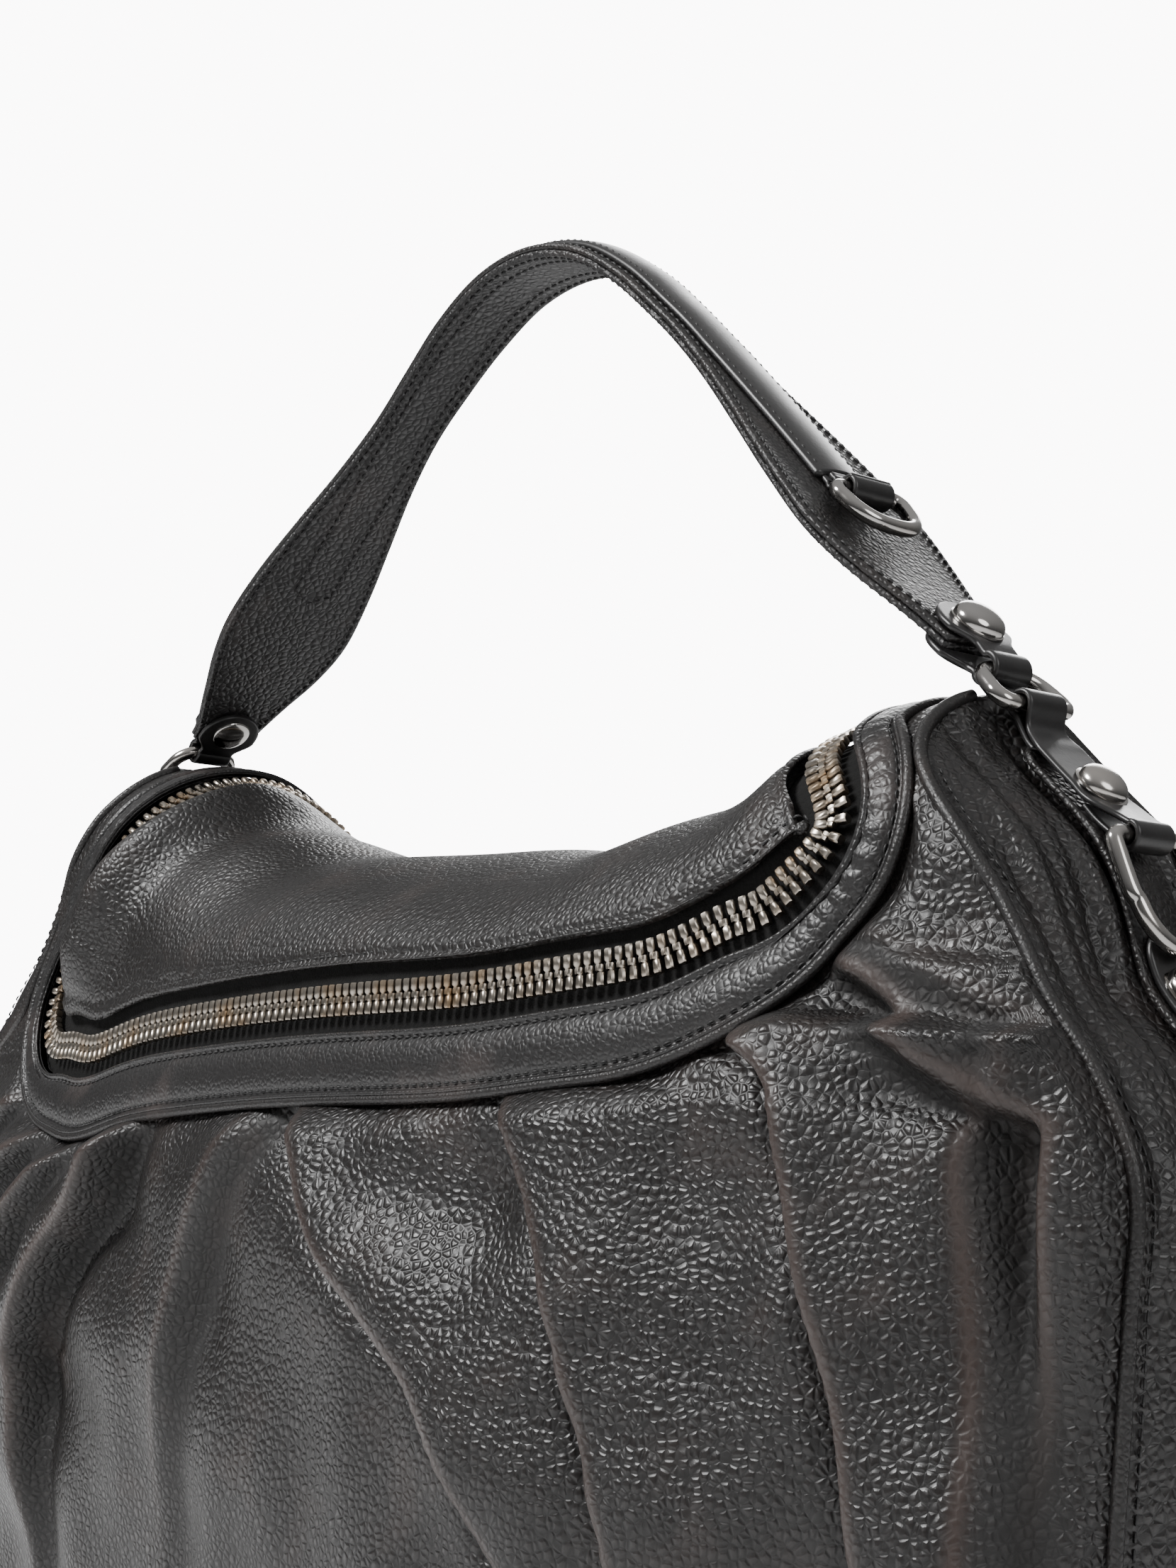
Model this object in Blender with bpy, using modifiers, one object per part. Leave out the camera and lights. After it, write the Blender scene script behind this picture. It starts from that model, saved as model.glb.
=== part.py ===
"""Slouched leather hobo bag with a U-shaped metal zip and a shaped shoulder handle.

+Z is up, X runs along the bag, the front faces -Y, and the origin is at the middle of
the base, on the surface it stands on. Lengths at the top are in millimetres.
"""
import bpy
import bmesh
import math
from mathutils import Vector

MM = 0.001

# ---- driving dimensions (mm) ----------------------------------------------------
SEAM_X = [(0, 196), (10, 216), (30, 237), (62, 250), (100, 256), (140, 258), (180, 259),
          (205, 259), (226, 248), (241, 235), (255, 225), (274, 210), (294, 191),
          (304, 185), (316, 183)]          # half length of the body at the gusset seam
SEAM_Y = [(0, 38), (30, 42), (240, 41), (255, 40), (274, 39), (316, 36)]
MID_Y = [(0, 52), (30, 62), (80, 71), (130, 76), (180, 75), (233, 66), (255, 57.9),
         (280, 54), (320, 50)]             # half depth of the body at its middle
RIDGE_Z = [(0, 278), (60, 279), (90, 283), (120, 290), (135, 297), (147, 307),
           (165, 312), (200, 315)]         # height of the top edge along the bag
CAP_H = [(0, 45), (100, 46), (147, 52), (200, 50)]   # height over which the top rounds
BULGE = [(0, 5), (60, 7), (190, 6), (226, 3), (245, 1), (265, 8), (279, 11), (292, 9),
         (305, 5), (316, 4)]               # how far the gusset stands out at its middle
SLUMP = 22.0                               # the soft front has slid down to the left
LEATHER = 1.8
ZIP_HALF = 4.5                             # half width of the closed chain
ZIP_EDGE = 9.5                             # leather edge to the middle of the chain
BAND_OUT = 27.0                            # far edge of the padded band
PIPE_R = 1.5
WIRE_R = 2.1                               # ring wire
RING_BAR1 = (194.0, 310.5)                 # bar of the top ring in its side loop (x, z)
RING_TOP1 = (182.5, 320.0)                 # its far side, in the handle's loop
RING_BAR2 = 274.5                          # height of the side ring's bar
HANDLE = [(0, 458.7), (21.8, 455.1), (41.4, 444.8), (58.9, 431.2), (75.7, 416.7),
          (92.1, 401.8), (108.4, 386.6), (124.4, 371.2), (139.6, 356.0), (151.5, 345.3),
          (162.5, 336.4), (171.5, 328.6), (176.5, 324.6)]   # middle line, right half
HANDLE_W = [27.6, 27.2, 26.4, 24.6, 24.0, 28.6, 36.8, 44.5, 47.8, 43.0, 32.7, 24.0, 22.0]
SIDE_NARROW = 0.24                         # the band is this much narrower at its sides
LID_HINGE = (53.0, 262.0)                  # y, z of the line where the lid bends back
ZIP_ARC = 52.0                             # radius of the zip where it runs over the top
STUD_R = 7.0


# ---- curves and surfaces ----------------------------------------------------------
def smooth(table, t):
    """Hermite curve through (t, value) pairs, with slopes from the neighbours."""
    n = len(table)
    t = min(max(t, table[0][0]), table[-1][0])
    i = 0
    while i < n - 2 and t > table[i + 1][0]:
        i += 1

    def slope(k):
        a, b = table[max(k - 1, 0)], table[min(k + 1, n - 1)]
        return (b[1] - a[1]) / (b[0] - a[0])

    (t0, v0), (t1, v1) = table[i], table[i + 1]
    h = t1 - t0
    s = (t - t0) / h
    return (v0 * (2 * s ** 3 - 3 * s * s + 1) + v1 * (3 * s * s - 2 * s ** 3)
            + slope(i) * h * (s ** 3 - 2 * s * s + s) + slope(i + 1) * h * (s ** 3 - s * s))


def half_depth(x, z):
    """Half depth of the body: seam depth at the gusset, fuller towards the middle."""
    a = min(abs(x) / smooth(SEAM_X, z), 1.0)
    side = smooth(SEAM_Y, z)
    return side + (smooth(MID_Y, z) - side) * (1 - a ** 2.6)


def face_y(x, z):
    """Half depth with the top rounded over to the ridge as a quarter ellipse."""
    ridge, cap = smooth(RIDGE_Z, abs(x)), smooth(CAP_H, abs(x))
    if z <= ridge - cap:
        return half_depth(x, z)
    c = min(max(1 - (ridge - z) / cap, 0.0), 1.0)
    return half_depth(x, ridge - cap) * math.sqrt(1 - c * c)


def skin(x, q):
    """Point of the top surface: q is 0 on the ridge, 1 at the foot of the front curve
    and -1 at the foot of the back curve."""
    ridge, cap = smooth(RIDGE_Z, abs(x)), smooth(CAP_H, abs(x))
    side = -1.0 if q > 0 else 1.0
    if abs(q) <= 1:
        a = abs(q) * math.pi / 2
        return Vector((x, side * half_depth(x, ridge - cap) * math.sin(a),
                       ridge - cap * (1 - math.cos(a))))
    z = ridge - cap - (abs(q) - 1) * 70.0
    return Vector((x, side * half_depth(x, z), z))


def q_at(x, z):
    ridge, cap = smooth(RIDGE_Z, abs(x)), smooth(CAP_H, abs(x))
    if z < ridge - cap:
        return 1 + (ridge - cap - z) / 70.0
    return math.acos(max(-1.0, 1 - (ridge - z) / cap)) / (math.pi / 2)


def slope_at(x, q):
    d = 0.01
    return ((skin(x + 0.5, q) - skin(x - 0.5, q)),
            (skin(x, q + d) - skin(x, q - d)) / (2 * d))


def normal_at(x, q):
    px, pq = slope_at(x, q)
    return px.cross(-pq).normalized()


def slumped(x, z):
    """Height of the front's seams once the soft leather has slid to the left."""
    fade = min(max((302 - z) / 62.0, 0.0), 1.0)
    fade = fade * fade * (3 - 2 * fade)
    return z + SLUMP * math.copysign((min(abs(x), 173) / 173.0) ** 1.4, x) * fade


def catmull(points, per_span):
    out = []
    n = len(points)
    for i in range(n - 1):
        p = [points[max(i - 1, 0)], points[i], points[i + 1], points[min(i + 2, n - 1)]]
        for k in range(per_span):
            s = k / per_span
            out.append(tuple(0.5 * ((2 * b) + (c - a) * s + (2 * a - 5 * b + 4 * c - d) * s * s
                                    + (3 * b - a - 3 * c + d) * s ** 3)
                             for a, b, c, d in zip(*p)))
    out.append(tuple(points[-1]))
    return out


def respace(line, count, place):
    """Even steps along the line, measured on the surface."""
    pts = [place(*p) for p in line]
    run = [0.0]
    for a, b in zip(pts, pts[1:]):
        run.append(run[-1] + (b - a).length)
    out, j = [], 0
    for i in range(count + 1):
        s = run[-1] * i / count
        while j < len(run) - 2 and run[j + 1] < s:
            j += 1
        f = (s - run[j]) / max(run[j + 1] - run[j], 1e-9)
        out.append(tuple(a + (b - a) * f for a, b in zip(line[j], line[j + 1])))
    return out


def zip_line(count):
    """Middle of the zip: up the back at the left, over the top, down and along the
    front, and back over the top at the right, as (x, q) pairs."""
    front = [(0, 233), (62, 232), (108, 231.5), (140, 231), (159, 234), (171, 242),
             (174, 254), (168, 268), (158, 284), (150.5, 297)]
    back = [(147, a / 90.0) for a in (-2, -20, -40, -60, -74, -81)]
    right = [(x, q_at(x, slumped(x, z))) for x, z in front] + back
    left = [(-x, q_at(-x, slumped(-x, z))) for x, z in front[1:]] \
        + [(-x, q) for x, q in back]
    return catmull(left[::-1] + right, count)


def beside(line, w):
    """The line moved w mm across the surface, outwards from the lid. Beyond the padded
    band's near edge the distance shrinks along the zip's side runs."""
    steps = max(1, int(abs(w) / 6) + 1)
    total = w
    for _ in range(steps):
        pts = [skin(*p) for p in line]
        moved = []
        for i, (x, q) in enumerate(line):
            far = abs(2.0 * i / (len(line) - 1) - 1)
            w = total * (1 - (SIDE_NARROW * smoothstep(0.20, 0.38, far) if total > 12 else 0))
            t = (pts[min(i + 1, len(pts) - 1)] - pts[max(i - 1, 0)]).normalized()
            px, pq = slope_at(x, q)
            s = t.cross(px.cross(-pq).normalized()) * (w / steps)
            a, b, c = px.dot(px), px.dot(pq), pq.dot(pq)
            det = a * c - b * b
            u, v = px.dot(s), pq.dot(s)
            moved.append((x + (c * u - b * v) / det, q + (a * v - b * u) / det))
        line = moved
    return line


# ---- making the objects -------------------------------------------------------------
def clear_scene():
    for ob in list(bpy.data.objects):
        bpy.data.objects.remove(ob, do_unlink=True)


BAG = bpy.data.collections.new("hobo_bag")
bpy.context.scene.collection.children.link(BAG)


def material(name, color, rough, metal):
    m = bpy.data.materials.new(name)
    m.use_nodes = True
    b = m.node_tree.nodes["Principled BSDF"]
    b.inputs["Base Color"].default_value = (*color, 1)
    b.inputs["Roughness"].default_value = rough
    b.inputs["Metallic"].default_value = metal
    return m


LOOKS = {
    "grained": ((0.020, 0.018, 0.018), 0.46, 0.0),
    "smooth": ((0.016, 0.016, 0.017), 0.34, 0.0),
    "edge": ((0.008, 0.008, 0.008), 0.5, 0.0),
    "tape": ((0.010, 0.010, 0.010), 0.9, 0.0),
    "lining": ((0.030, 0.028, 0.026), 0.85, 0.0),
    "gunmetal": ((0.20, 0.19, 0.18), 0.16, 1.0),
    "nickel": ((0.50, 0.44, 0.36), 0.25, 1.0),
    "board": ((0.05, 0.045, 0.04), 0.9, 0.0),
}


def finish(name, mesh, look, pivot=None):
    ob = bpy.data.objects.new(name, mesh)
    BAG.objects.link(ob)
    m = bpy.data.materials.get(name + "_look") or material(name + "_look", *LOOKS[look])
    mesh.materials.append(m)
    if pivot:
        root = Vector(pivot) * MM
        mesh.transform(_shift(-root))
        ob.location = root
    return ob


def _shift(v):
    from mathutils import Matrix
    return Matrix.Translation(v)


def sheet(name, nu, nv, place, look, thick, side=-1.0, pivot=None, bend=True,
          out=(0, -1, 0), even=True):
    """A grid laid on place(u, v), u and v from 0 to 1, given its thickness by Solidify.
    The sheet's middle faces out."""
    bm = bmesh.new()
    bmesh.ops.create_grid(bm, x_segments=nu, y_segments=nv, size=0.5)
    for v in bm.verts:
        v.co = Vector(place(v.co.x + 0.5, v.co.y + 0.5)) * MM
    bm.normal_update()
    middle = min(bm.faces, key=lambda f: (f.calc_center_median() / MM
                                          - Vector(place(0.5, 0.5))).length)
    if middle.normal.dot(Vector(out)) < 0:
        bmesh.ops.reverse_faces(bm, faces=bm.faces)
    mesh = bpy.data.meshes.new(name)
    bm.to_mesh(mesh)
    bm.free()
    ob = finish(name, mesh, look, pivot)
    mod = ob.modifiers.new("thickness", "SOLIDIFY")
    mod.thickness = thick * MM
    mod.offset = side
    mod.use_even_offset = even
    if bend:
        mesh.shade_smooth()
    return ob


def tube(name, points, radius, look, cyclic=False, pivot=None, res=2):
    data = bpy.data.curves.new(name, "CURVE")
    data.dimensions = "3D"
    data.bevel_depth = radius * MM
    data.bevel_resolution = res
    data.use_fill_caps = not cyclic
    sp = data.splines.new("POLY")
    sp.points.add(len(points) - 1)
    root = Vector(pivot or (0, 0, 0))
    for p, c in zip(sp.points, points):
        p.co = (*((Vector(c) - root) * MM), 1)
    sp.use_cyclic_u = cyclic
    ob = bpy.data.objects.new(name, data)
    BAG.objects.link(ob)
    data.materials.append(material(name + "_look", *LOOKS[look]))
    ob.location = root * MM
    return ob


def turned(name, profile, at, axis, look, pivot=None):
    """Profile of (radius, height) pairs turned about its own axis, then stood along
    axis at the point at."""
    mesh = bpy.data.meshes.new(name)
    bm = bmesh.new()
    vs = [bm.verts.new((r * MM, 0, h * MM)) for r, h in profile]
    for a, b in zip(vs, vs[1:]):
        bm.edges.new((a, b))
    bm.to_mesh(mesh)
    bm.free()
    ob = finish(name, mesh, look)
    sc = ob.modifiers.new("turn", "SCREW")
    sc.steps = sc.render_steps = 16
    sc.use_merge_vertices = True
    sc.merge_threshold = 0.00005
    ob.location = Vector(at) * MM
    ob.rotation_mode = "QUATERNION"
    ob.rotation_quaternion = Vector((0, 0, 1)).rotation_difference(Vector(axis))
    return ob


# ---- the top: lid, zip and band ------------------------------------------------------
def between(lines, rows):
    """Grid lookup over neighbouring lines of (x, q) pairs with equal counts."""
    def place(u, v):
        k = min(int(round(v * rows)), rows)
        line = lines[k]
        return line[int(round(u * (len(line) - 1)))]
    return place


def strip(name, line, w0, w1, rows, lift, thick, look, pivot=None):
    lines = [beside(line, w0 + (w1 - w0) * k / rows) for k in range(rows + 1)]
    at = between(lines, rows)

    def place(u, v):
        x, q = at(u, v)
        return skin(x, q) + normal_at(x, q) * lift
    return sheet(name, len(line) - 1, rows, place, look, thick, pivot=pivot)


def make_top():
    chain = zip_line(2)
    pivot = (0, *LID_HINGE)
    cut = [p for p in chain if not (p[0] < 0 and p[1] < -62 / 90.0)]
    strip("zip_tape_lower", chain, 0.4, 11.9, 1, -2.4, 0.6, "tape")
    strip("zip_tape_upper", cut, -13.5, -0.4, 1, -2.4, 0.6, "tape", pivot)
    strip("zip_teeth_lower", chain, 0.35, ZIP_HALF, 1, 1.2, 3.1, "nickel")
    strip("zip_teeth_upper", cut, -ZIP_HALF, -0.35, 1, 1.2, 3.1, "nickel", pivot)
    strip("zip_band", chain, ZIP_EDGE + 1, BAND_OUT, 2, 1.9, 3.7, "grained")
    edge = beside(chain, BAND_OUT + 2.1)
    pipe = [skin(*p) + normal_at(*p) * 0.7 for p in edge]
    tube("band_piping", pipe, 1.4, "smooth", res=1)

    # lid: a patch spanned by the four runs of the zip's inner edge
    inner = beside(chain, -ZIP_EDGE)
    corner_r = max(range(len(inner)), key=lambda i: inner[i][0] + 20 * inner[i][1])
    corner_l = max(range(len(inner)), key=lambda i: -inner[i][0] + 20 * inner[i][1])
    left = respace(inner[corner_l::-1], 60, skin)
    front = respace(inner[corner_l:corner_r + 1], 120, skin)
    right = respace(inner[corner_r:], 60, skin)

    def pick(line, t):
        f = t * (len(line) - 1)
        i = min(int(f), len(line) - 2)
        return Vector(line[i]).lerp(Vector(line[i + 1]), f - i)

    bx = right[-1][0]

    def back(u):
        x = -bx + 2 * bx * u
        return Vector((x, -q_at(x, LID_HINGE[1] + 1.2)))

    def place(u, v):
        a, b, c, d = pick(front, u), back(u), pick(left, v), pick(right, v)
        flat = ((1 - v) * pick(front, 0) + v * back(0)) * (1 - u) \
            + ((1 - v) * pick(front, 1) + v * back(1)) * u
        x, q = (1 - v) * a + v * b + (1 - u) * c + u * d - flat
        return skin(x, q) + normal_at(x, q) * lid_lift(u, v)
    sheet("lid_panel", 24, 9, place, "grained", LEATHER, pivot=pivot, out=(0, -0.3, 1))
    return chain


def lid_lift(u, v):
    """Soft folds of the lid."""
    return 1.0 + 1.4 * math.sin(math.pi * u) * math.sin(math.pi * v) * (1 + math.sin(9 * u + 5 * v))


# ---- the body ------------------------------------------------------------------------
def outline(count, drop=6.0):
    """The gusset seam from the ridge down, along the base and up, as (x, z) pairs."""
    top = smooth(RIDGE_Z, 183) - drop
    half = [(smooth(SEAM_X, z) - 3.9, z) for z in
            [top - (top - 3) * (k / 24.0) for k in range(25)]]
    right = half[::-1]
    pts = [(-x, z) for x, z in half] + [(x, 3.0) for x in
                                        range(-180, 181, 30)] + right
    return respace(pts, count, lambda x, z: Vector((x, 0, z)))


PLEATS = [(0.22, 0.030, 4.5), (0.33, 0.020, 5.0), (0.44, 0.022, 5.0), (0.53, 0.012, 4.0),
          (0.63, 0.028, 6.0), (0.72, 0.030, 6.5), (0.80, 0.024, 4.5)]


def pleat(t, v):
    """Outward stand of the pleats: each dies away towards the base."""
    s = 0.0
    for at, wide, high in PLEATS:
        s += high * math.exp(-((t - at) / (wide * (1 + 1.2 * v))) ** 2)
    return s * math.sin(math.pi * min(1.0, 0.12 + v * 1.1)) ** 0.8 * (1 - v) ** 0.4


def make_panels(chain):
    # front: from the band's piping out to the gusset seams and the base
    n = 60
    top = [p for p in beside(chain, BAND_OUT + 8.4) if p[1] > 0.6]
    top = respace(top, n, skin)
    top_xz = [(skin(*p).x, skin(*p).z) for p in top]
    # the nearest line is matched to the outer one by how far round each point is
    outer = outline(n, 20.0)

    def front(u, v):
        i = int(round(u * n))
        x = top_xz[i][0] + (outer[i][0] - top_xz[i][0]) * v
        z = top_xz[i][1] + (outer[i][1] - top_xz[i][1]) * v
        return Vector((x, -face_y(x, z) - pleat(u, v) * (1 if 0.08 < u < 0.92 else 0), z))
    sheet("front_panel", n, 8, front, "grained", LEATHER, even=False)

    # back: plain, under the lid's bend line
    zt = LID_HINGE[1] - 2.4
    rz = smooth(RIDGE_Z, 181) - 6.0
    inner = [(-177.5, rz), (-176.5, 295), (-177, 280), (-176, 268), (-173, zt)] \
        + [(x, zt) for x in range(-160, 161, 20)] \
        + [(173, zt), (176, 268), (177, 280), (176.5, 295), (177.5, rz)]
    inner = respace(inner, 40, lambda x, z: Vector((x, 0, z)))
    outer_b = outline(40)

    def back(u, v):
        i = int(round(u * 40))
        x = inner[i][0] + (outer_b[i][0] - inner[i][0]) * v
        z = inner[i][1] + (outer_b[i][1] - inner[i][1]) * v
        return Vector((x, face_y(x, z), z))
    sheet("back_panel", 40, 5, back, "grained", LEATHER, out=(0, 1, 0), even=False)

    for side, s in (("left", -1), ("right", 1)):
        z0, z1 = 3.0, smooth(RIDGE_Z, 183) - 3.0

        def gusset(u, v, s=s):
            z = z0 + (z1 - z0) * v
            sx = smooth(SEAM_X, z)
            d = max(face_y(sx, z) - 3.5, 1.5)
            w = 2 * u - 1
            return Vector((s * (sx + smooth(BULGE, z) * (1 - w * w)), w * d, z))
        sheet("gusset_" + side, 6, 26, gusset, "grained", LEATHER, out=(s, 0, 0))
        for face, f in (("front", -1), ("back", 1)):
            zs = [4 + (z1 - 5) * k / 20 for k in range(21)]
            pts = [(s * (smooth(SEAM_X, z) + 0.2), f * (face_y(smooth(SEAM_X, z), z) + 0.2), z)
                   for z in zs]
            tube("piping_%s_%s" % (face, side), pts, PIPE_R, "smooth", res=1)

    def base(u, v):
        x = -194 + 388 * u
        return Vector((x, (2 * v - 1) * (half_depth(x, 0) - 0.5), 0.0))
    sheet("base_panel", 16, 3, base, "grained", 2.2, side=-1.0, out=(0, 0, -1))


def make_inside():
    def bowl(name, inset, z0, z1, look, thick):
        bpy.ops.mesh.primitive_uv_sphere_add(segments=28, ring_count=16, radius=1)
        ob = bpy.context.object
        mesh = ob.data
        bm = bmesh.new()
        bm.from_mesh(mesh)
        bmesh.ops.delete(bm, geom=[v for v in bm.verts if v.co.z > 0.01], context="VERTS")
        for v in bm.verts:
            th = math.atan2(v.co.y, v.co.x)
            phi = math.degrees(math.acos(min(1.0, max(-1.0, -v.co.z))))
            r = min(phi / 30.0, 1.0)
            z = z0 + (z1 - z0) * max(0.0, (phi - 30.0) / 60.0)
            c, s = math.cos(th), math.sin(th)
            hx = smooth(SEAM_X, z) - inset
            x = hx * math.copysign(abs(c) ** 0.55, c)
            y = (half_depth(x, z) - inset) * math.copysign(abs(s) ** 0.55, s)
            v.co = Vector((x * r, y * r, z)) * MM
        bm.to_mesh(mesh)
        bm.free()
        mesh.materials.clear()
        mesh.materials.append(material(name + "_look", *LOOKS[look]))
        mesh.shade_smooth()
        for c in ob.users_collection:
            c.objects.unlink(ob)
        BAG.objects.link(ob)
        ob.name = mesh.name = name
        mod = ob.modifiers.new("thickness", "SOLIDIFY")
        mod.thickness = thick * MM
        mod.offset = 1.0
        return ob
    bowl("lining_bag", 8.0, 6.5, 219.0, "lining", 0.8)

    bpy.ops.mesh.primitive_cube_add(size=1, location=(0, 0, 0.0041))
    ob = bpy.context.object
    ob.scale = (0.36, 0.078, 0.0024)
    bpy.ops.object.transform_apply(location=False, rotation=False, scale=True)
    for c in ob.users_collection:
        c.objects.unlink(ob)
    BAG.objects.link(ob)
    ob.name = ob.data.name = "base_board"
    ob.data.materials.append(material("base_board_look", *LOOKS["board"]))

    def pocket(u, v):
        x = -90 + 180 * u
        z = 112 + 92 * v
        return Vector((x, half_depth(x, z) - 11.5 - 3 * math.sin(math.pi * u) * v, z))
    sheet("inner_pocket", 10, 4, pocket, "lining", 0.8)


# ---- rings, loops and straps ---------------------------------------------------------
def dee(center, up, side_w, tall):
    """Closed D outline: straight bar through center along Y, round towards up (x, z)."""
    pts = [(-side_w + 2.2, -0.2), (side_w - 2.2, -0.2), (side_w - 0.3, 0.9),
           (side_w + 0.5, 3.2), (side_w + 0.2, 5.5)]
    for k in range(1, 12):
        a = math.radians(6 + 14 * k)
        pts.append((side_w * math.copysign(abs(math.cos(a)) ** 0.85, math.cos(a)),
                    5.0 + (tall - 5.0) * math.sin(a) ** 0.85))
    pts += [(-side_w - 0.2, 5.5), (-side_w - 0.5, 3.2), (-side_w + 0.3, 0.9)]
    return [(center[0] + up[0] * d, y, center[1] + up[1] * d) for y, d in pts]


def stirrup(center, up, side_w, tall):
    """Straight legs that turn in to a curved foot."""
    pts = [(-side_w + 2.0, -0.2), (side_w - 2.0, -0.2), (side_w - 0.4, 0.6),
           (side_w + 0.2, 2.2), (side_w + 0.1, 13.5), (side_w - 1.1, 16.6)]
    for k in range(0, 9):
        a = math.radians(30 + 15 * k)
        pts.append(((side_w - 0.4) * math.cos(a) * 0.98, 13.0 + (tall - 13.0) * math.sin(a)))
    pts += [(-side_w + 1.1, 16.6), (-side_w - 0.1, 13.5), (-side_w - 0.2, 2.2),
            (-side_w + 0.4, 0.6)]
    return [(center[0] + up[0] * d, y, center[1] + up[1] * d) for y, d in pts]


def unit(a, b):
    d = math.hypot(b[0] - a[0], b[1] - a[1])
    return ((b[0] - a[0]) / d, (b[1] - a[1]) / d)


def hairpin(c, u, n, r, near, far, start=50, ramp=1.7, arc=10):
    """Strap folded round c in the XZ plane: near and far are (offset along n, length
    along u) of the two leaves, in the order they are walked."""
    def at(along, off):
        return (c[0] + u[0] * along + n[0] * off, c[1] + u[1] * along + n[1] * off)
    pts = [at(near[1], near[0]), at(near[1] * 0.5 + r * ramp * 0.5, near[0]),
           at(r * ramp, near[0])]
    for k in range(arc + 1):
        a = math.radians(start + (360 - 2 * start) * k / arc)
        pts.append(at(r * math.cos(a), r * math.sin(a)))
    pts += [at(r * ramp, far[0]), at(far[1] * 0.5 + r * ramp * 0.5, far[0]),
            at(far[1], far[0])]
    return pts


def strap(name, path, width, thick, look, s=1, pivot=None, cols=1):
    """A strap along a path of (x, z) points, as wide as width(t) along Y."""
    n = len(path) - 1

    def place(u, v):
        x, z = path[int(round(u * n))]
        return Vector((s * x, (2 * v - 1) * width(u) / 2, z))
    return sheet(name, n, cols, place, look, thick, side=0.0, pivot=pivot)


def rounded(base, tip0, tip1, length):
    """Width that closes to a round end over tip millimetres at either end."""
    def width(u):
        w = base(u)
        for tip, d in ((tip0, u * length), (tip1, (1 - u) * length)):
            if tip and d < tip:
                k = 1 - d / tip
                w = min(w, w * (0.25 + 0.75 * math.sqrt(max(0.0, 1 - k * k))))
        return w
    return width


def run_length(path):
    return sum(math.hypot(b[0] - a[0], b[1] - a[1]) for a, b in zip(path, path[1:]))


def side_at(z, off):
    """Point standing off the middle of the gusset, in the XZ plane."""
    def gx(h):
        return smooth(SEAM_X, h) + smooth(BULGE, h)
    dx = (gx(z + 1) - gx(z - 1)) / 2
    k = math.hypot(1, dx)
    return (gx(z) + off / k, z - off * dx / k)


def make_hardware():
    for side, s in (("left", -1), ("right", 1)):
        # top ring
        up = unit(RING_BAR1, RING_TOP1)
        tall = math.hypot(RING_TOP1[0] - RING_BAR1[0], RING_TOP1[1] - RING_BAR1[1])
        tube("ring_top_" + side, [(s * x, y, z) for x, y, z in dee(RING_BAR1, up, 11.4, tall)],
             WIRE_R, "gunmetal", cyclic=True)

        # side strap: backing, upper tab with a loop at each end, lower tab
        zs = [298 - k * (298 - 26) / 32 for k in range(33)]
        back = [side_at(z, 1.7) for z in zs]
        strap("side_strap_" + side, back, rounded(lambda u: 19.0, 8, 0, run_length(back)),
              1.6, "grained", s)
        bar2 = side_at(RING_BAR2, 7.7)
        path = loop_path(RING_BAR1, bar2)
        strap("side_tab_upper_" + side, path, tab_width(path), 1.4, "smooth", s)
        lows = [side_at(z, 3.8) for z in [255 - k * (255 - 30) / 28 for k in range(29)]]
        strap("side_tab_lower_" + side, lows, rounded(lambda u: 15.0, 8, 0, run_length(lows)),
              1.5, "smooth", s)

        # side ring, hung on its own bar
        d2 = unit(bar2, side_at(249.0, 7.8))
        pivot = (s * bar2[0], 0, bar2[1])
        tube("ring_side_" + side, [(s * x, y, z) for x, y, z in stirrup(bar2, d2, 11.2, 27.5)],
             WIRE_R, "gunmetal", cyclic=True, pivot=pivot)

        # studs on the side strap
        for nm, z, off in (("stud_upper_", 285.5, 7.9), ("stud_lower_", 241.0, 5.8)):
            a, b = side_at(z, off), side_at(z, off + 5)
            ax = unit(a, b)
            dome(nm + side, (s * a[0], 0, a[1]), (s * ax[0], 0, ax[1]), 6.6, 4.0)


def loop_path(bar1, bar2):
    """Upper side tab: from its inner end up and round the top ring's bar, down the
    outside, round the side ring's bar, and up behind to its other end."""
    r = WIRE_R + 0.45 + 0.7
    a0 = side_at(299.5, 3.4)
    u1 = unit(bar1, side_at(295, 4.4))
    n1 = (-u1[1], u1[0]) if -u1[1] > 0 else (u1[1], -u1[0])
    pts = [side_at(297.0, 3.5), a0]
    for k in range(9):
        a = math.radians(-52 - 256 * k / 8)
        pts.append((bar1[0] + r * (u1[0] * math.cos(a) + n1[0] * math.sin(a)),
                    bar1[1] + r * (u1[1] * math.cos(a) + n1[1] * math.sin(a))))
    for z in (301, 296, 291, 286.5, 283):
        pts.append(side_at(z, 5.8))
    u2 = unit(bar2, side_at(286, 5.0))
    n2 = (-u2[1], u2[0]) if -u2[1] > 0 else (u2[1], -u2[0])
    for k in range(9):
        a = math.radians(48 + 262 * k / 8)
        pts.append((bar2[0] + r * (u2[0] * math.cos(a) + n2[0] * math.sin(a)),
                    bar2[1] + r * (u2[1] * math.cos(a) + n2[1] * math.sin(a))))
    pts += [side_at(280.0, 3.3), side_at(283.5, 3.3)]
    return pts


def tab_width(path):
    return lambda u: 13.6 + 2.4 * math.sin(math.pi * min(max((u - 0.42) / 0.2, 0), 1))


def dome(name, at, axis, radius, high):
    prof = [(0, high)] + [(radius * math.sin(math.radians(a)), high * math.cos(math.radians(a)))
                          for a in (18, 36, 54, 72)] + [(radius, 0.5), (radius, 0), (0, 0)]
    return turned(name, prof, at, axis, "gunmetal")


# ---- the handle ----------------------------------------------------------------------
def handle_line(step):
    """Middle line of the whole handle, left to right, with its width at each point."""
    half = [(x, z, w) for (x, z), w in zip(HANDLE, HANDLE_W)]
    full = [(-x, z, w) for x, z, w in half[:0:-1]] + half
    return catmull(full, step)


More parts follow.
